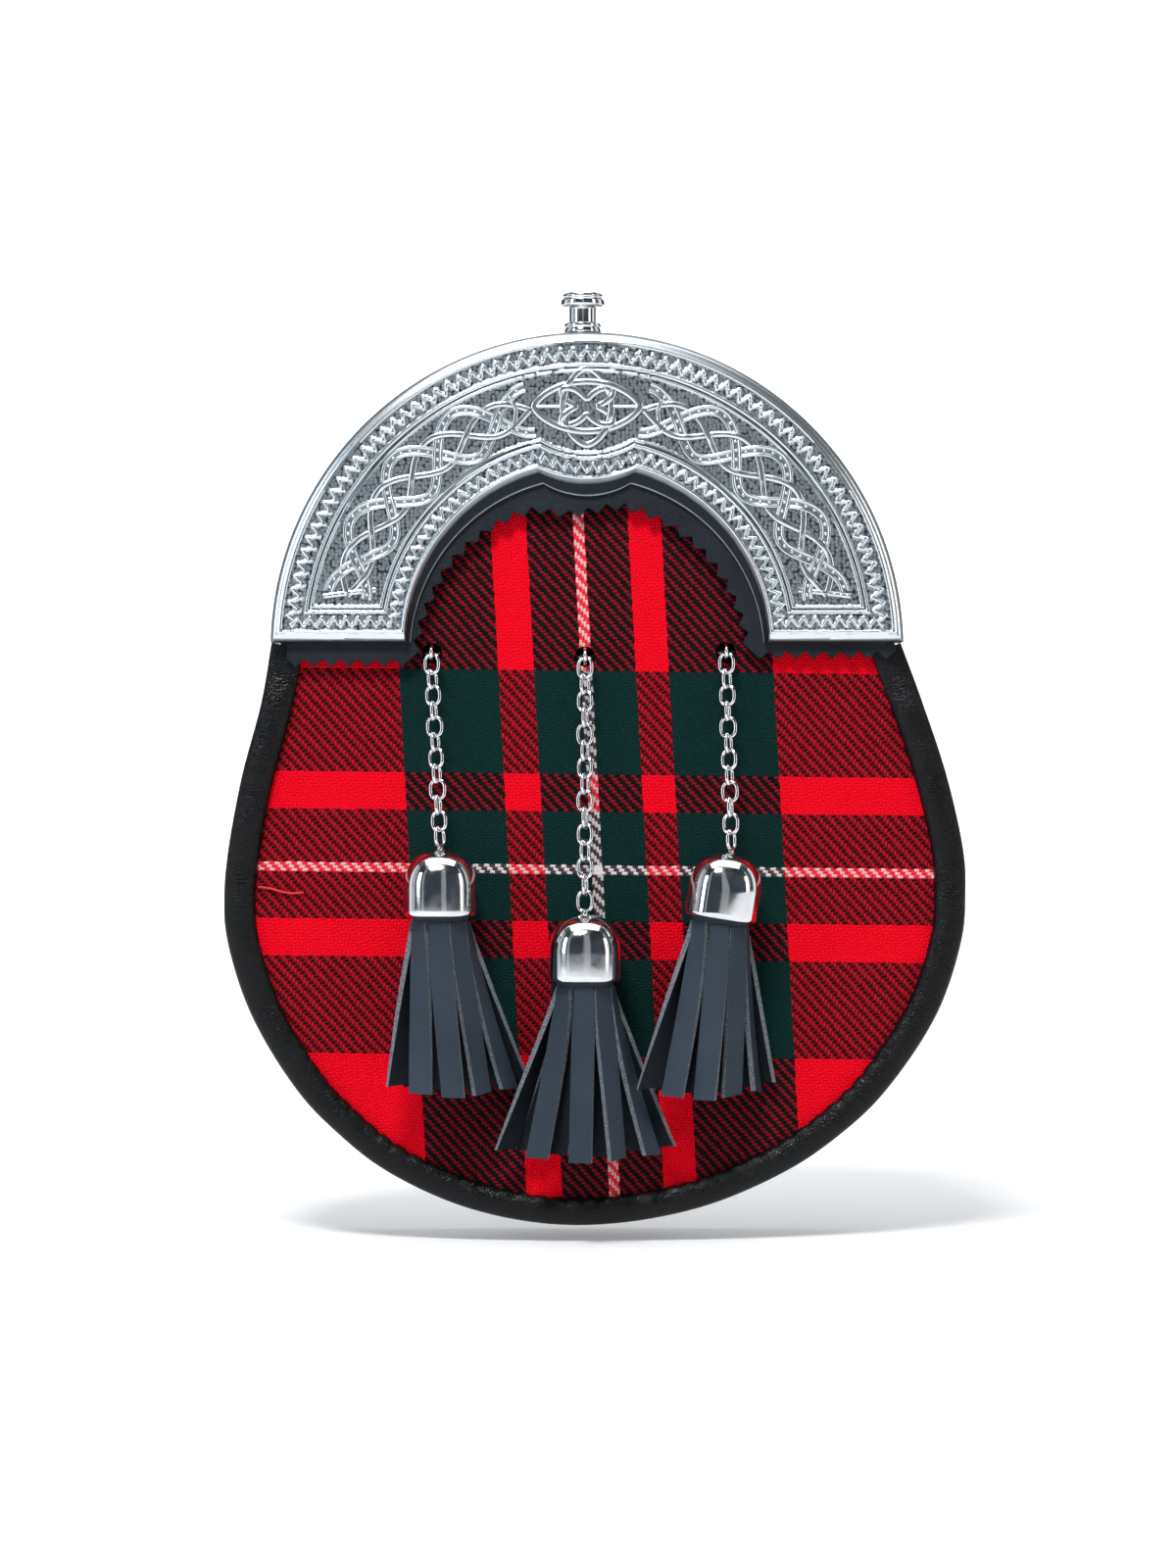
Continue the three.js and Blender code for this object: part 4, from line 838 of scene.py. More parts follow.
# Where two straps cross, one passes over and the other under, turn about along each strap.
crossings = {i: [] for i in range(len(straps))}
for i, (a, a_closed, *_) in enumerate(straps):
    for j, (b, b_closed, *_) in enumerate(straps[: i + 1]):
        p, q = a, np.roll(a, -1, 0)
        r, s = b, np.roll(b, -1, 0)
        if not a_closed:
            p, q = p[:-1], q[:-1]
        if not b_closed:
            r, s = r[:-1], s[:-1]
        d1, d2 = q - p, s - r
        cross = d1[:, None, 0] * d2[None, :, 1] - d1[:, None, 1] * d2[None, :, 0]
        gap = r[None] - p[:, None]
        with np.errstate(all="ignore"):
            t = (gap[..., 0] * d2[None, :, 1] - gap[..., 1] * d2[None, :, 0]) / cross
            u = (gap[..., 0] * d1[:, None, 1] - gap[..., 1] * d1[:, None, 0]) / cross
        for m, n in zip(*np.where((t >= 0) & (t < 1) & (u >= 0) & (u < 1))):
            if i != j or n + 1 < m - 1:
                meeting = {"over": None}
                crossings[i].append((m + t[m, n], meeting, 1))
                crossings[j].append((n + u[m, n], meeting, -1))
lifts = []
for i, (line, closed, half, bead) in enumerate(straps):
    rows = sorted(crossings[i], key=lambda row: row[0])
    known = [meeting["over"] * side * (-1) ** k for k, (_, meeting, side) in enumerate(rows) if meeting["over"]]
    sign = known[0] if known else 1
    lift = np.zeros(len(line))
    for k, (place, meeting, side) in enumerate(rows):
        meeting["over"] = meeting["over"] or sign * (-1) ** k * side
        spot = line[int(place) % len(line)]
        lift += meeting["over"] * side * 0.2 * np.exp(-((np.hypot(*(line - spot).T) / 1.5) ** 2))
    lifts.append(lift)

# A wide strap has a rail along each side and beads between them, and a narrow one is half round.
WIDE_SECTION = (  # share of the half width, height, brightness
    (-1, -0.2, 0.1), (-1, 0.2, 0.35), (-0.86, 0.42, 0.92), (-0.68, 0.46, 0.92), (-0.5, 0.36, 0.92),
    (-0.38, 0.2, 0.35), (0.38, 0.2, 0.35), (0.5, 0.36, 0.92), (0.68, 0.46, 0.92), (0.86, 0.42, 0.92),
    (1, 0.2, 0.35), (1, -0.2, 0.1),
)
NARROW_SECTION = (
    (-1, -0.2, 0.1), (-1, 0.14, 0.1), (-0.7, 0.38, 0.92), (-0.25, 0.48, 0.92), (0.25, 0.48, 0.92),
    (0.7, 0.38, 0.92), (1, 0.14, 0.1), (1, -0.2, 0.1),
)
GROUND = -0.1
BEAD_RADIUS, BEAD_SIDES = 0.5, 10
band_points, band_faces, band_levels = [], [], []
for (line, closed, half, bead), lift in zip(straps, lifts):
    section = WIDE_SECTION if half > 1 else NARROW_SECTION
    ring = np.vstack([line, line[:1]]) if closed else line
    rise = np.append(lift, lift[0]) if closed else lift
    run = np.concatenate([[0], np.cumsum(np.hypot(*np.diff(ring, axis=0).T))])
    marks = np.linspace(0, run[-1], int(run[-1] / 0.5))
    x, z, up = (np.interp(marks, run, values) for values in (ring[:, 0], ring[:, 1], rise))
    if closed:
        ahead_x, ahead_z = (np.roll(v[:-1], -1) - np.roll(v[:-1], 1) for v in (x, z))
        x, z, up = x[:-1], z[:-1], up[:-1]
    else:
        ahead_x, ahead_z = np.gradient(x), np.gradient(z)
    size = np.hypot(ahead_x, ahead_z) + 1e-9
    first, many = len(band_points), len(section)
    for px, pz, tx, tz, level in zip(x, z, ahead_x / size, ahead_z / size, up):
        for share, height, bright in section:  # the foot stays sunk in the ground where the strap is lifted
            y = PLATE_GROUND - GROUND - height - (level if height > 0 else 0)
            band_points.append((px + tz * share * half, y, pz - tx * share * half))
            band_levels.append(bright)
    count = len(x)
    band_faces += bands(many, count, first, closed)
    if not closed:
        band_faces += [[first + k for k in range(many)], [first + (count - 1) * many + k for k in range(many)]]
    if bead:
        for mark in np.arange(bead / 2, run[-1], bead):
            px, pz, level = (np.interp(mark, run, v) for v in (ring[:, 0], ring[:, 1], rise))
            first = len(band_points)
            for tilt in (0, 35, 62):
                r = BEAD_RADIUS * math.cos(math.radians(tilt))
                y = PLATE_GROUND - GROUND - level - 0.16 - BEAD_RADIUS * math.sin(math.radians(tilt)) * 0.9
                for turn in np.linspace(0, 2 * math.pi, BEAD_SIDES, endpoint=False):
                    band_points.append((px + r * math.cos(turn), y, pz + r * math.sin(turn)))
                    band_levels.append(0.3 if tilt == 0 else 1)
            band_points.append((px, PLATE_GROUND - GROUND - level - 0.61, pz))
            band_levels.append(1)
            band_faces += bands(BEAD_SIDES, 3, first)
            crown, top = first + 2 * BEAD_SIDES, first + 3 * BEAD_SIDES
            band_faces += [[crown + k, crown + (k + 1) % BEAD_SIDES, top] for k in range(BEAD_SIDES)]
            band_faces.append([first + k for k in range(BEAD_SIDES)])

# The height of the chased face over its ground: zigzag wires, three ridges and the rounded rim.
RIDGES = ((2.45, 0.5, 0.55), (8.35, 0.55, 0.6), (9.6, 0.45, 0.52))  # depth of the middle, half width, height
RIM_WIDTH, RIM_DROP = 2.0, 1.55
relief = np.full_like(depth, GROUND)
relief = np.maximum(relief, np.where(in_band & (wire > 0), GROUND + 0.55 * wire, -1))
for middle, half, high in RIDGES:
    relief = np.maximum(relief, GROUND + high * ridge(middle, half))
rim = np.minimum(CANTLE_RADIUS - r_out, face_z)
fall = np.clip(1 - rim / RIM_WIDTH, 0, 1)
rounded = -RIM_DROP * (1 - np.sqrt(1 - fall**1.8)) + 0.1 * (1 - fall)
relief = np.where(rim < RIM_WIDTH, rounded, relief)

skirt_inner = CANTLE_RADIUS - 2
shell = [  # the bevel down to the opening, the plate's back, and the skirt's inside, rim and outside
    (lambda a: chased_edge(a) * 0.97 + opening(a) * 0.03, -21.95),
    (lambda a: chased_edge(a) * 0.6 + opening(a) * 0.4, -21.2),
    (lambda a: chased_edge(a) * 0.15 + opening(a) * 0.85, -20.3),
    (lambda a: opening(a), -20.15),
    (lambda a: opening(a), PLATE_BACK),
    (lambda a: opening(a) * 0.5 + skirt_inner * 0.5, PLATE_BACK),
    (lambda a: skirt_inner + 0 * a, PLATE_BACK),
    (lambda a: skirt_inner + 0 * a, SKIRT_BACK),
    (lambda a: CANTLE_RADIUS - 0.2 + 0 * a, SKIRT_BACK),
    (lambda a: CANTLE_RADIUS + 0 * a, SKIRT_BACK - 0.3),
    (lambda a: CANTLE_RADIUS + 0 * a, -20.3),
]
# The chased face and the shell are one grid of rows along the arch, with the straps laid on as loose bands.
all_x, all_y, all_z = face_x, PLATE_GROUND - relief, face_z
for reach, y in shell:
    x, z, _ = cantle_column(reach)
    all_x = np.hstack([all_x, x[:, None]])
    all_y = np.hstack([all_y, np.full((ROWS, 1), y)])
    all_z = np.hstack([all_z, np.maximum(z, 0)[:, None]])
width = all_x.shape[1]
cantle_points = np.stack([all_x, all_y, all_z], axis=2).reshape(-1, 3)
index = np.arange(ROWS * width).reshape(ROWS, width)
ahead = np.roll(index, -1, 1)
quads = np.stack([index[:-1], index[1:], ahead[1:], ahead[:-1]], axis=2).reshape(-1, 4)
cantle_faces = quads.tolist() + [index[0].tolist(), index[-1].tolist()]
cantle_faces += [[k + ROWS * width for k in f] for f in band_faces]
cantle_points = np.vstack([cantle_points, np.array(band_points)])
cantle_mesh = bpy.data.meshes.new("chased_cantle")
cantle_mesh.from_pydata((cantle_points * MM).tolist(), [], cantle_faces)

# How bright each point of the casting is, from 0 in an antiqued recess to 1 on a ridge, with painted shade on the
# rim's outer edge and in the bevel round the opening, and where it is pebbled.
level = np.full((ROWS, width), 0.55)
level[:, :COLUMNS] = np.clip((relief - GROUND) / 0.5, 0, 1)
# The rounded rim is bright except for painted shade on its outer 0.8 mm, where it falls away.
level[:, :COLUMNS] = np.where(rim < RIM_WIDTH, np.where(rim < 0.8, 0.3, 0.85), level[:, :COLUMNS])
# The middle of the bevel round the opening is painted dark as shade.
level[:, COLUMNS : COLUMNS + 4] = (0.5, -0.2, -0.2, 0.45)  # the bevel round the opening is left dark
chasing = cantle_mesh.attributes.new("chasing", "FLOAT", "POINT")
chasing.data.foreach_set("value", np.concatenate([level.ravel(), band_levels]))
pebbled = np.zeros((ROWS, width))
pebbled[:, :COLUMNS] = ((depth > 9.9) | in_band) & (relief < GROUND + 0.02)
ground = cantle_mesh.attributes.new("pebbled", "FLOAT", "POINT")
ground.data.foreach_set("value", np.concatenate([pebbled.ravel(), np.zeros(len(band_levels))]))

HINGE_EARS = (((73.7, -11.3, 0.2), (77.4, -9.2, 9)), ((73.7, -11.3, 0.2), (75.5, -4.2, 9)))  # lows and highs
work = bmesh.new()
work.from_mesh(cantle_mesh)
bmesh.ops.recalc_face_normals(work, faces=work.faces)
for mirror in (-1, 1):  # the hinge ears stand behind the skirt at both feet
    for low, high in HINGE_EARS:
        made = bmesh.ops.create_cube(work, size=1)["verts"]
        for v in made:
            v.co = [mirror * (low[0] + (high[0] - low[0]) * (v.co.x + 0.5)) * MM] + [
                (low[k] + (high[k] - low[k]) * (v.co[k] + 0.5)) * MM for k in (1, 2)
            ]
        if mirror < 0:
            bmesh.ops.reverse_faces(work, faces=list({f for v in made for f in v.link_faces}))
work.to_mesh(cantle_mesh)
work.free()
cantle = shown("chased_cantle", cantle_mesh)
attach(cantle, "pouch")
crisp(cantle, 50)

# Bright plate over cast zinc: near white on the ridges, with dark antiquing left in the recesses, and painted
# shade on the rim's outer edge and in the bevel round the opening.
PEBBLE = 0.98  # mm between the punched domes of the ground
cast_metal = new_finish("antiqued_bright_plate", Metallic=1.0, Roughness=0.22)
level, on_ground = (
    node(cast_metal, "Attribute", out="Fac", attribute_name=name, attribute_type="GEOMETRY")
    for name in ("chasing", "pebbled")
)
place = node(cast_metal, "TexCoord", out="Object")
x, z = (node(cast_metal, "SeparateXYZ", (place,), out) for out in ("X", "Z"))
flat_place = node(cast_metal, "CombineXYZ", (x, z))
tarnish = node(cast_metal, "TexNoise", {"Vector": place, "Scale": 260.0, "Detail": 5.0})
punch = {"Vector": flat_place, "Scale": 1 / (PEBBLE * MM), "Randomness": 0.7}
punch = node(cast_metal, "TexVoronoi", punch, voronoi_dimensions="2D")
dome = node(cast_metal, "MapRange", {0: punch, 1: 0.62, 2: 0.0, 3: 0.0, 4: 1.0})
dome = node(cast_metal, "Math", (dome, 0.55), operation="POWER")
dome = node(cast_metal, "Math", (dome, on_ground), operation="MULTIPLY")
level = node(cast_metal, "Math", (dome, 0.62, level), operation="MULTIPLY_ADD")
antique = node(cast_metal, "Math", (tarnish, 0.24, level), operation="MULTIPLY_ADD")
tone = node(cast_metal, "ValToRGB", (antique,))
tone.node.color_ramp.elements.new(0.45)
METAL_TONES = ((0.12, "2a2f33"), (0.45, "8e989e"), (0.95, "dfe5e9"))  # from the recesses to the ridges
for element, (share, colour) in zip(tone.node.color_ramp.elements, METAL_TONES):
    element.position, element.color = share, linear(colour)
gloss = node(cast_metal, "MapRange", {0: level, 3: 0.46, 4: 0.23})
bump = node(cast_metal, "Bump", {"Height": dome, "Strength": 0.5, "Distance": 0.16 * MM})
coat(cast_metal, Base_Color=tone, Roughness=gloss, Normal=bump)
dress(cantle, cast_metal, "cast_metal", "cantle")

# Clasp.
# A plated press knob on a neck, with a flange inside the skirt that keeps it from pulling out, and a turned
# collar round its hole. A press lets the catch inside go.

# Polished nickel plate: a near mirror, with the faint haze of handling.
chrome = new_finish("polished_nickel_plate", Metallic=1.0, Roughness=0.06)
haze = mottled(chrome, 300.0, 5.0, "d5d7da", "f1f2f3")
coat(chrome, Roughness=node(chrome, "MapRange", {0: haze, 1: 0.3, 2: 0.7, 3: 0.05, 4: 0.13}))

KNOB_PLACE = Matrix.Translation((-0.0011, -0.01445, 0))
KNOB_PROFILE = (  # radius and height of the flange, the neck and the double rim
    (0, 73.3), (4.5, 73.3), (4.7, 73.5), (4.7, 74.6), (4.5, 74.8), (3.5, 74.8), (3.5, 83.5), (3.6, 83.9),
    (4.1, 84.1), (5.3, 84.15), (5.6, 84.35), (5.75, 84.8), (5.75, 85.7), (5.6, 86.05), (5.3, 86.2),
    (5.15, 86.35), (5.2, 86.6), (5.4, 86.8), (5.35, 87.2), (5.0, 87.55), (4.4, 87.75), (3.4, 87.8), (0, 87.8),
)
knob = turned("press_knob", KNOB_PROFILE, body="knob", turn=KNOB_PLACE)
crisp(knob, 50)
dress(knob, chrome, "chrome", "clasp_knob")
COLLAR_PROFILE = (
    (3.8, 77.6), (4.6, 77.6), (4.8, 77.8), (4.8, 78.5), (4.6, 78.75), (4.6, 78.95), (4.8, 79.2), (4.8, 79.85),
    (4.6, 80.1), (4.35, 80.2), (3.95, 80.2), (3.8, 80.05), (3.8, 77.6),
)
collar = turned("knob_collar", COLLAR_PROFILE, turn=KNOB_PLACE)
crisp(collar, 50)
dress(collar, chrome, "chrome", "clasp_collar")

# Chains.
# Three cable chains of soldered oval links in 0.9 mm wire. A staple behind the face holds each by its hole,
# and the last link holds the stem that goes through the bell.

WIRE, WELD = 0.9, 0.12
BELL_AXIS = -25.55
BELL_HEIGHT = 16.5
LINK_HALF_WIDTH = 1.85
STAPLE_HALF_LONG, STAPLE_HALF_WIDE = 4.65, 1.75
BAR_Y = -12.2  # the staple's bar, behind the board
Drop = namedtuple("Drop", "side hole_x hole_z bell_x bell_z links lean end_x spread swing")
DROPS = (
    Drop("left", *HOLES[0], -36.4, -51.6, 12, 0, -31.9, 15.6, 0.26),
    Drop("middle", *HOLES[1], -0.5, -67.7, 15, 0, -0.4, 20.6, 0),
    Drop("right", *HOLES[2], 35.7, -52.4, 12, -9, 29.9, 15.4, 0.44),
)


def bell_frame(drop):
    lean = Matrix.Rotation(math.radians(-drop.lean), 4, "Y")
    return Matrix.Translation((drop.bell_x, BELL_AXIS, drop.bell_z)) @ lean


def oval_link(centre, long, wide, half_long, half_wide, steps=30, round_steps=10):
    """One link of round wire with nearly straight sides: its points and faces."""
    up = long.cross(wide)
    points = []
    for i in range(steps):
        angle = 2 * math.pi * i / steps
        s, c = math.sin(angle), math.cos(angle)
        square_s, square_c = (math.copysign(abs(v) ** 0.78, v) for v in (s, c))
        middle = centre + long * (square_s * half_long) + wide * (square_c * half_wide)
        out = (long * (s * half_wide) + wide * (c * half_long)).normalized()
        for k in range(round_steps):
            turn = 2 * math.pi * k / round_steps
            points.append(middle + (out * math.cos(turn) + up * math.sin(turn)) * (WIRE * 0.56))
    return points, bands(round_steps, steps, closed=True)


def rod(start, end, diameter, steps=16):
    """A round rod with both ends a little broken: its points and faces."""
    along = (end - start).normalized()
    side = along.orthogonal().normalized()
    up = along.cross(side)
    points = []
    for place, size in ((start, 0.8), (start + along * 0.12, 1), (end - along * 0.12, 1), (end, 0.8)):
        for k in range(steps):
            turn = 2 * math.pi * k / steps
            points.append(place + (side * math.cos(turn) + up * math.sin(turn)) * (diameter / 2 * size))
    return points, bands(steps, 4) + [list(range(steps)), [3 * steps + k for k in reversed(range(steps))]]


HOOK_ANGLE = math.radians(225)  # where on the staple the first link hangs
for drop in DROPS:
    in_bell = bell_frame(drop)
    staple = Vector((drop.hole_x, BAR_Y + 0.7 + WIRE / 2 - WELD - STAPLE_HALF_LONG, drop.hole_z))
    hook = staple + Vector((0, math.cos(HOOK_ANGLE) * STAPLE_HALF_LONG, math.sin(HOOK_ANGLE) * STAPLE_HALF_WIDE))
    lift = Vector((0, -math.cos(HOOK_ANGLE) * STAPLE_HALF_WIDE, -math.sin(HOOK_ANGLE) * STAPLE_HALF_LONG))
    top = hook + lift.normalized() * (WIRE - WELD)
    end = in_bell @ Vector((0, 0, 0.75))
    down = (end - top).normalized()
    half_long = ((end - top).length + (drop.links - 1) * (WIRE - WELD)) / drop.links / 2
    pitch = 2 * half_long - WIRE + WELD
    across = down.cross(Vector((0, 1, 0))).normalized()
    bar_middle, bar_half = Vector((drop.hole_x, BAR_Y, drop.hole_z)), Vector((4.5, 0, 0))
    parts = [
        oval_link(staple, Vector((0, 1, 0)), Vector((0, 0, 1)), STAPLE_HALF_LONG, STAPLE_HALF_WIDE),
        rod(bar_middle - bar_half, bar_middle + bar_half, 1.4),
        rod(end, in_bell @ Vector((0, 0, -2.2)), 1.6),
        rod(in_bell @ Vector((-3, 0, -2.2)), in_bell @ Vector((3, 0, -2.2)), 1.4),
    ]
    for i in range(drop.links):  # each link is turned a quarter from the last, and none hangs quite true
        turn = math.radians(22 + 9 * math.sin(1.3 * i) + 90 * (i % 2))
        wide = Matrix.Rotation(turn, 3, down) @ across
        parts.append(oval_link(top + down * (half_long + pitch * i), down, wide, half_long, LINK_HALF_WIDTH))
    points, faces = [], []
    for some_points, some_faces in parts:
        faces += [[k + len(points) for k in f] for f in some_faces]
        points += some_points
    chain = piece(f"chain_links_{drop.side}", points, faces)
    dress(chain, chrome, "chrome", f"chain_{drop.side}")

# Bells.
# Spun brass caps, nickel plated and polished, in the shape of a thimble. Each is open below, where the
# tassel's head is glued in, and has a hole in its crown for the stem.

BELL_RADIUS = 9.05
r, h = BELL_RADIUS, BELL_HEIGHT
bell_profile = [(1.5, -0.02)]
for turn in np.linspace(math.pi / 2 - 0.16, 0, 22):
    bell_profile.append((r * math.cos(turn) ** 0.86, -h * 0.58 * (1 - math.sin(turn) ** 0.93)))
bell_profile += [(r, -h * 0.8), (r, -h + 1.5), (r - 0.01, -h + 1), (r - 0.06, -h + 0.6), (r - 0.2, -h + 0.25)]
bell_profile += [(r - 0.45, -h), (r - 0.9, -h), (r - 1.2, -h + 0.3), (7.85, -h * 0.55), (7.2, -h * 0.32)]
bell_profile += [(5.6, -h * 0.17), (3.1, -h * 0.1), (1.5, -1.2), (1.5, -0.02)]
for drop in DROPS:
    place = bell_frame(drop)
    place.translation *= MM
    bell = turned(f"polished_bell_{drop.side}", bell_profile, 96)
    for v in bell.data.vertices:  # the cap is a little square in plan, with a flat front and fast-turning sides
        around = math.atan2(v.co.y, v.co.x)
        fuller = (abs(math.cos(around)) ** 2.5 + abs(math.sin(around)) ** 2.5) ** (-1 / 2.5)
        v.co.x, v.co.y = v.co.x * fuller, v.co.y * fuller
    bell.data.transform(place)
    crisp(bell, 60)
    dress(bell, chrome, "chrome", f"bell_{drop.side}")

# Tassels.
# A piece of 1.3 mm slate leather, slit into 5.7 mm strips and rolled up, so that the strips hang in two rings
# under a solid head. The grain side is smooth and matt, the cut edges show pale fibre, and the flesh side is
# painted nearly black as the shade between the strips.

STRIP_ROWS = (  # turn on the head, side, front, turn at the end, length, ring
    (-92, -0.06, 0.98, -94, 1, 1), (-52, 0.38, 0.84, -62, 0.985, 1), (-12, 0.8, 0.56, -28, 0.97, 1),
    (32, 0.97, 0.34, 62, 0.93, 1), (82, 0.35, 0.06, 88, 0.97, 1), (122, -0.4, 0.06, 93, 0.98, 1),
    (176, -0.96, 0.4, 128, 0.94, 1), (222, -0.58, 0.8, 236, 0.98, 1), (-122, -0.3, 0.6, -116, 0.96, 0.55),
    (-34, 0.16, 0.52, -74, 0.975, 0.55), (48, 0.66, 0.3, 62, 0.95, 0.55), (150, -0.7, 0.22, 104, 0.955, 0.55),
)
STRIP_WIDTH, STRIP_THICKNESS, STRIP_LENGTH, STRIP_ROWS_ALONG = 5.7, 1.3, 44.5, 15
HEAD_RADIUS, HEAD_LOW, HEAD_SIDES = 7.1, -BELL_HEIGHT - 3, 48
HEAD_PROFILE = (
    (0.01, HEAD_LOW), (HEAD_RADIUS * 0.94, HEAD_LOW), (HEAD_RADIUS, HEAD_LOW + 3), (HEAD_RADIUS, -7),
    (HEAD_RADIUS * 0.6, -4.2), (0.01, -4.2),
)
GRAIN, CUT, SHADED_FLESH = 0, 1, 2  # the three surfaces of a strip, in the order of its materials
strip_leather = leather("slate_strip_leather", "262e37", "38424d", 0.5, 0.5, 0.05, Specular_IOR_Level=0.12)
cut_edge = new_finish("raw_cut_leather_edge", Roughness=0.85)
place = node(cut_edge, "TexCoord", out="Object")
fibre = node(cut_edge, "TexNoise", {"Vector": place, "Scale": 2200.0, "Detail": 6.0, "Roughness": 0.7})
tone = node(cut_edge, "ValToRGB", (fibre,))
for element, (share, colour) in zip(tone.node.color_ramp.elements, ((0.36, "2c3238"), (0.64, "7a828a"))):
    element.position, element.color = share, linear(colour)
bump = node(cut_edge, "Bump", {"Height": fibre, "Strength": 0.6, "Distance": 0.2 * MM})
coat(cut_edge, Base_Color=tone, Normal=bump)

# The flesh side, which shows between the strips and covers the inner ring, is rougher and painted nearly black
# as the shade inside the tassel.
shaded_flesh = new_finish("flesh_side_painted_shade_leather", Roughness=0.95, Specular_IOR_Level=0.05)
mottled(shaded_flesh, 1400.0, 5.0, "101317", "22282e")

for drop in DROPS:
    in_bell = bell_frame(drop)
    rim_z = (in_bell @ Vector((0, 0, -BELL_HEIGHT))).z
    points = []
    for r, z in HEAD_PROFILE:
        for k in range(HEAD_SIDES):
            turn = 2 * math.pi * k / HEAD_SIDES
            points.append(in_bell @ Vector((r * math.cos(turn), r * math.sin(turn), z)))
    faces = bands(HEAD_SIDES, len(HEAD_PROFILE))
    surfaces = [CUT] * HEAD_SIDES + [GRAIN] * (len(faces) - HEAD_SIDES)
    for number, (turn0, along, front, facing0, length, ring) in enumerate(STRIP_ROWS):
        turn0, facing0 = math.radians(turn0), math.radians(facing0 + 22 * math.sin(number * 2.1 + drop.end_x))
        reach = HEAD_RADIUS * ring - STRIP_THICKNESS * 0.45
        start = in_bell @ Vector((reach * math.cos(turn0), reach * math.sin(turn0), HEAD_LOW + 1.6))
        front = min(1, max(0.03, front - along * drop.swing))
        end_y = FACE_FRONT - 0.3 - STRIP_THICKNESS - front * 15
        end = Vector((drop.end_x + along * drop.spread, end_y, rim_z - STRIP_LENGTH * length))
        base = len(points)
        for share in np.linspace(0, 1, STRIP_ROWS_ALONG):
            middle = start.lerp(end, share**1.15)
            middle.z = start.z + (end.z - start.z) * share
            facing = turn0 + (facing0 - turn0) * share
            wide = Vector((-math.sin(facing), math.cos(facing), 0))
            out = Vector((math.cos(facing), math.sin(facing), 0))
            middle = middle + out * (0.35 * math.sin(math.pi * share) * math.sin(number * 2.4))
            half = STRIP_WIDTH * (0.8 + 0.2 * min(1, share / 0.25)) / 2
            slant = 0.35 * math.sin(number * 1.7) if share == 1 else 0
            for a, n in ((-1, -1), (1, -1), (1, 1), (-1, 1)):
                corner = wide * (a * half) + out * (n * STRIP_THICKNESS / 2) + Vector((0, 0, a * slant))
                points.append(middle + corner)
        faces += bands(4, STRIP_ROWS_ALONG, base)
        # The inner ring's strips show the flesh side all round, so that they carry the painted shade.
        surfaces += [SHADED_FLESH, CUT, SHADED_FLESH if ring < 1 else GRAIN, CUT] * (STRIP_ROWS_ALONG - 1)
        last = base + (STRIP_ROWS_ALONG - 1) * 4
        faces += [[base + k for k in range(4)], [last + k for k in reversed(range(4))]]
        surfaces += [CUT, CUT]
    mesh = bpy.data.meshes.new(f"leather_tassel_{drop.side}")
    mesh.from_pydata([p * MM for p in points], [], faces)
    for leather_side in (strip_leather, cut_edge, shaded_flesh):
        mesh.materials.append(leather_side)
    mesh.polygons.foreach_set("material_index", surfaces)
    turn_outwards(mesh)
    tassel = shown(mesh.name, mesh)
    crisp(tassel, 40)
    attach(tassel, "pouch")
    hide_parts(f"tassel_{drop.side}")

# Studio.
# A pale floor that curves up into a wall all round, a key lamp, soft lamps at both sides and above, one on the
# wall, and a level camera square to the face, far enough away for the photograph's flat perspective.

points, faces = [(0, 0, -150)], []
cove = [(600, -150), (1500, -150), (2300, -146), (2700, -110), (2950, 0), (3080, 200), (3120, 500), (3120, 3000)]
steps = 96
for r, z in cove:
    for turn in np.linspace(0, 2 * math.pi, steps, endpoint=False):
        points.append((r * math.cos(turn), r * math.sin(turn), z))
for k in range(steps):
    faces.append([0, 1 + k, 1 + (k + 1) % steps])
for r in range(len(cove) - 1):
    for k in range(steps):
        a, b = 1 + r * steps, 1 + (r + 1) * steps
        faces.append([a + k, b + k, b + (k + 1) % steps, a + (k + 1) % steps])
mesh = bpy.data.meshes.new("studio_floor")
mesh.from_pydata([[c * MM for c in p] for p in points], [], faces)
mesh.shade_smooth()
floor = shown("studio_floor", mesh)
# Matt white paper that glows as painted light, faintly in front of the pouch and strongly behind it, so that it
# burns out to plain white past the pouch.
paper = new_finish("white_studio_paper", Roughness=0.9, Base_Color=linear("dcdee0"))
paper.node_tree.nodes["Principled BSDF"].inputs["Emission Color"].default_value = linear("ffffff")
behind = node(paper, "SeparateXYZ", (node(paper, "TexCoord", out="Object"),), "Y")
coat(paper, Emission_Strength=node(paper, "MapRange", {0: behind, 1: -0.2, 2: 0.5, 3: 0.06, 4: 0.6}))
mesh.materials.append(paper)

scene = bpy.context.scene
scene.view_settings.view_transform = "Standard"
scene.world = bpy.data.worlds.new("studio_light")
scene.world.use_nodes = True
sky = scene.world.node_tree.nodes["Background"]
sky.inputs["Color"].default_value, sky.inputs["Strength"].default_value = linear("dfe8f2"), 0.15


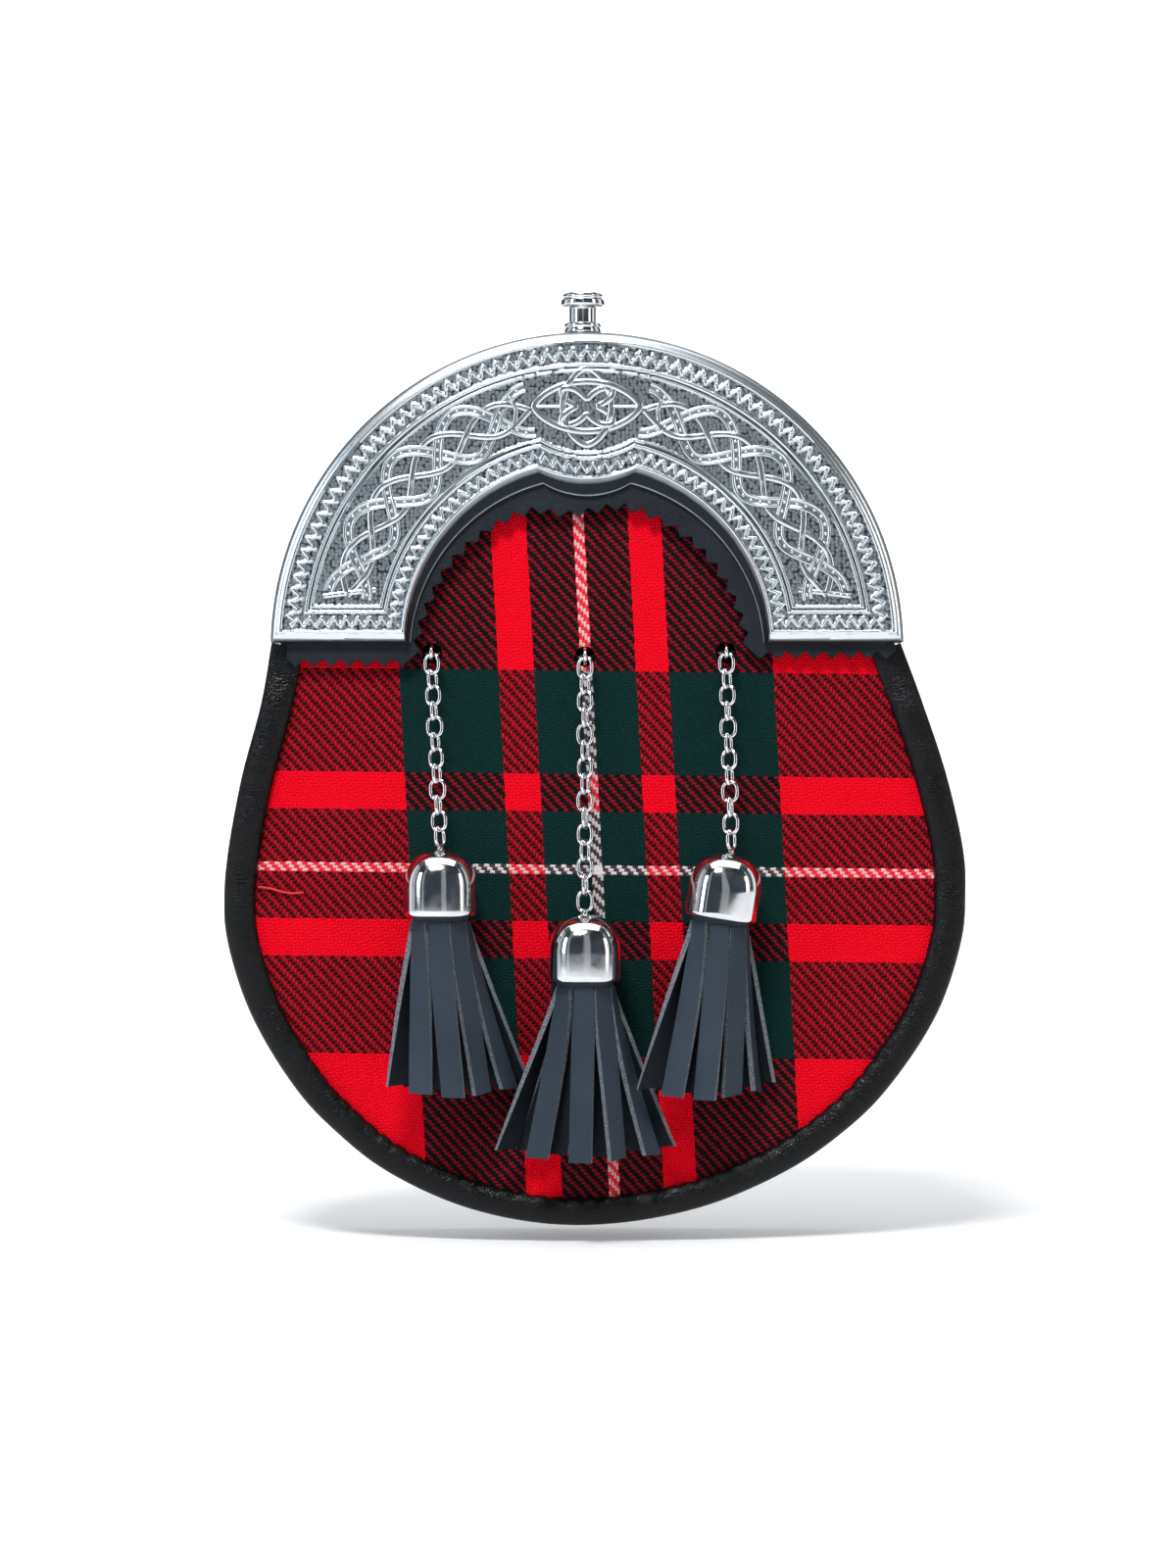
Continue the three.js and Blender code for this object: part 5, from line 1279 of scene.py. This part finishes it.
def lamp(name, place, size, power, tint="ffffff", target=(0, -0.02, -0.03)):
    light = bpy.data.lights.new(name, "AREA")
    light.shape, light.size, light.size_y = "RECTANGLE", size[0], size[1]
    light.energy, light.color = power, linear(tint)[:3]
    made = bpy.data.objects.new(name, light)
    made.location = place
    made.rotation_euler = (Vector(target) - Vector(place)).to_track_quat("-Z", "Y").to_euler()
    scene.collection.objects.link(made)


lamp("key_lamp", (-0.22, -0.8, 1.05), (0.36, 0.26), 19)
lamp("soft_lamp_left", (-1.15, -0.8, 0.35), (0.3, 0.9), 4, "eaf3ff")
lamp("soft_lamp_right", (1.2, -0.75, 0.3), (0.25, 0.9), 2.6, "fff8f0")
lamp("soft_lamp_above", (0, -0.1, 1.5), (1.6, 1.2), 11, target=(0, -0.1, -0.15))
lamp("wall_lamp", (0, 1.5, 0.9), (2.4, 0.8), 30, target=(0, 3.1, 0.35))

# Dark flags round the front, hidden from the camera and casting no shadow, show in the metal as the bands that
# make polish read as polish, and also darken the soft light that reaches the pouch.
FLAG_DISTANCE = 1.6
points, faces = [], []
for middle, width in ((-146, 30), (-108, 34), (-56, 54), (-12, 14), (34, 30), (150, 34)):
    for turn in (math.radians(middle - width / 2), math.radians(middle + width / 2)):
        for z in (-0.6, 2.4):
            points.append((FLAG_DISTANCE * math.cos(turn), FLAG_DISTANCE * math.sin(turn), z))
    first = len(points) - 4
    faces.append([first, first + 2, first + 3, first + 1])
mesh = bpy.data.meshes.new("studio_flags")
mesh.from_pydata(points, [], faces)
flags = shown("studio_flags", mesh)
velvet = new_finish("black_velvet_flag", Roughness=1.0, Specular_IOR_Level=0.0, Base_Color=linear("3a4147"))
mesh.materials.append(velvet)
flags.visible_camera = flags.visible_shadow = flags.visible_transmission = False

FACE_DISTANCE, FRAME_HEIGHT = 0.9, 0.392  # metres from the camera to the face, and what it sees there
camera = shown("camera", bpy.data.cameras.new("camera"))
camera.location = (0.00025, -0.0185 - FACE_DISTANCE, -0.0354)
camera.rotation_euler = (math.pi / 2, 0, 0)
camera.data.lens = 36 * FACE_DISTANCE / FRAME_HEIGHT
camera.data.sensor_width = 36
camera.data.clip_start = 0.01
scene.camera = camera
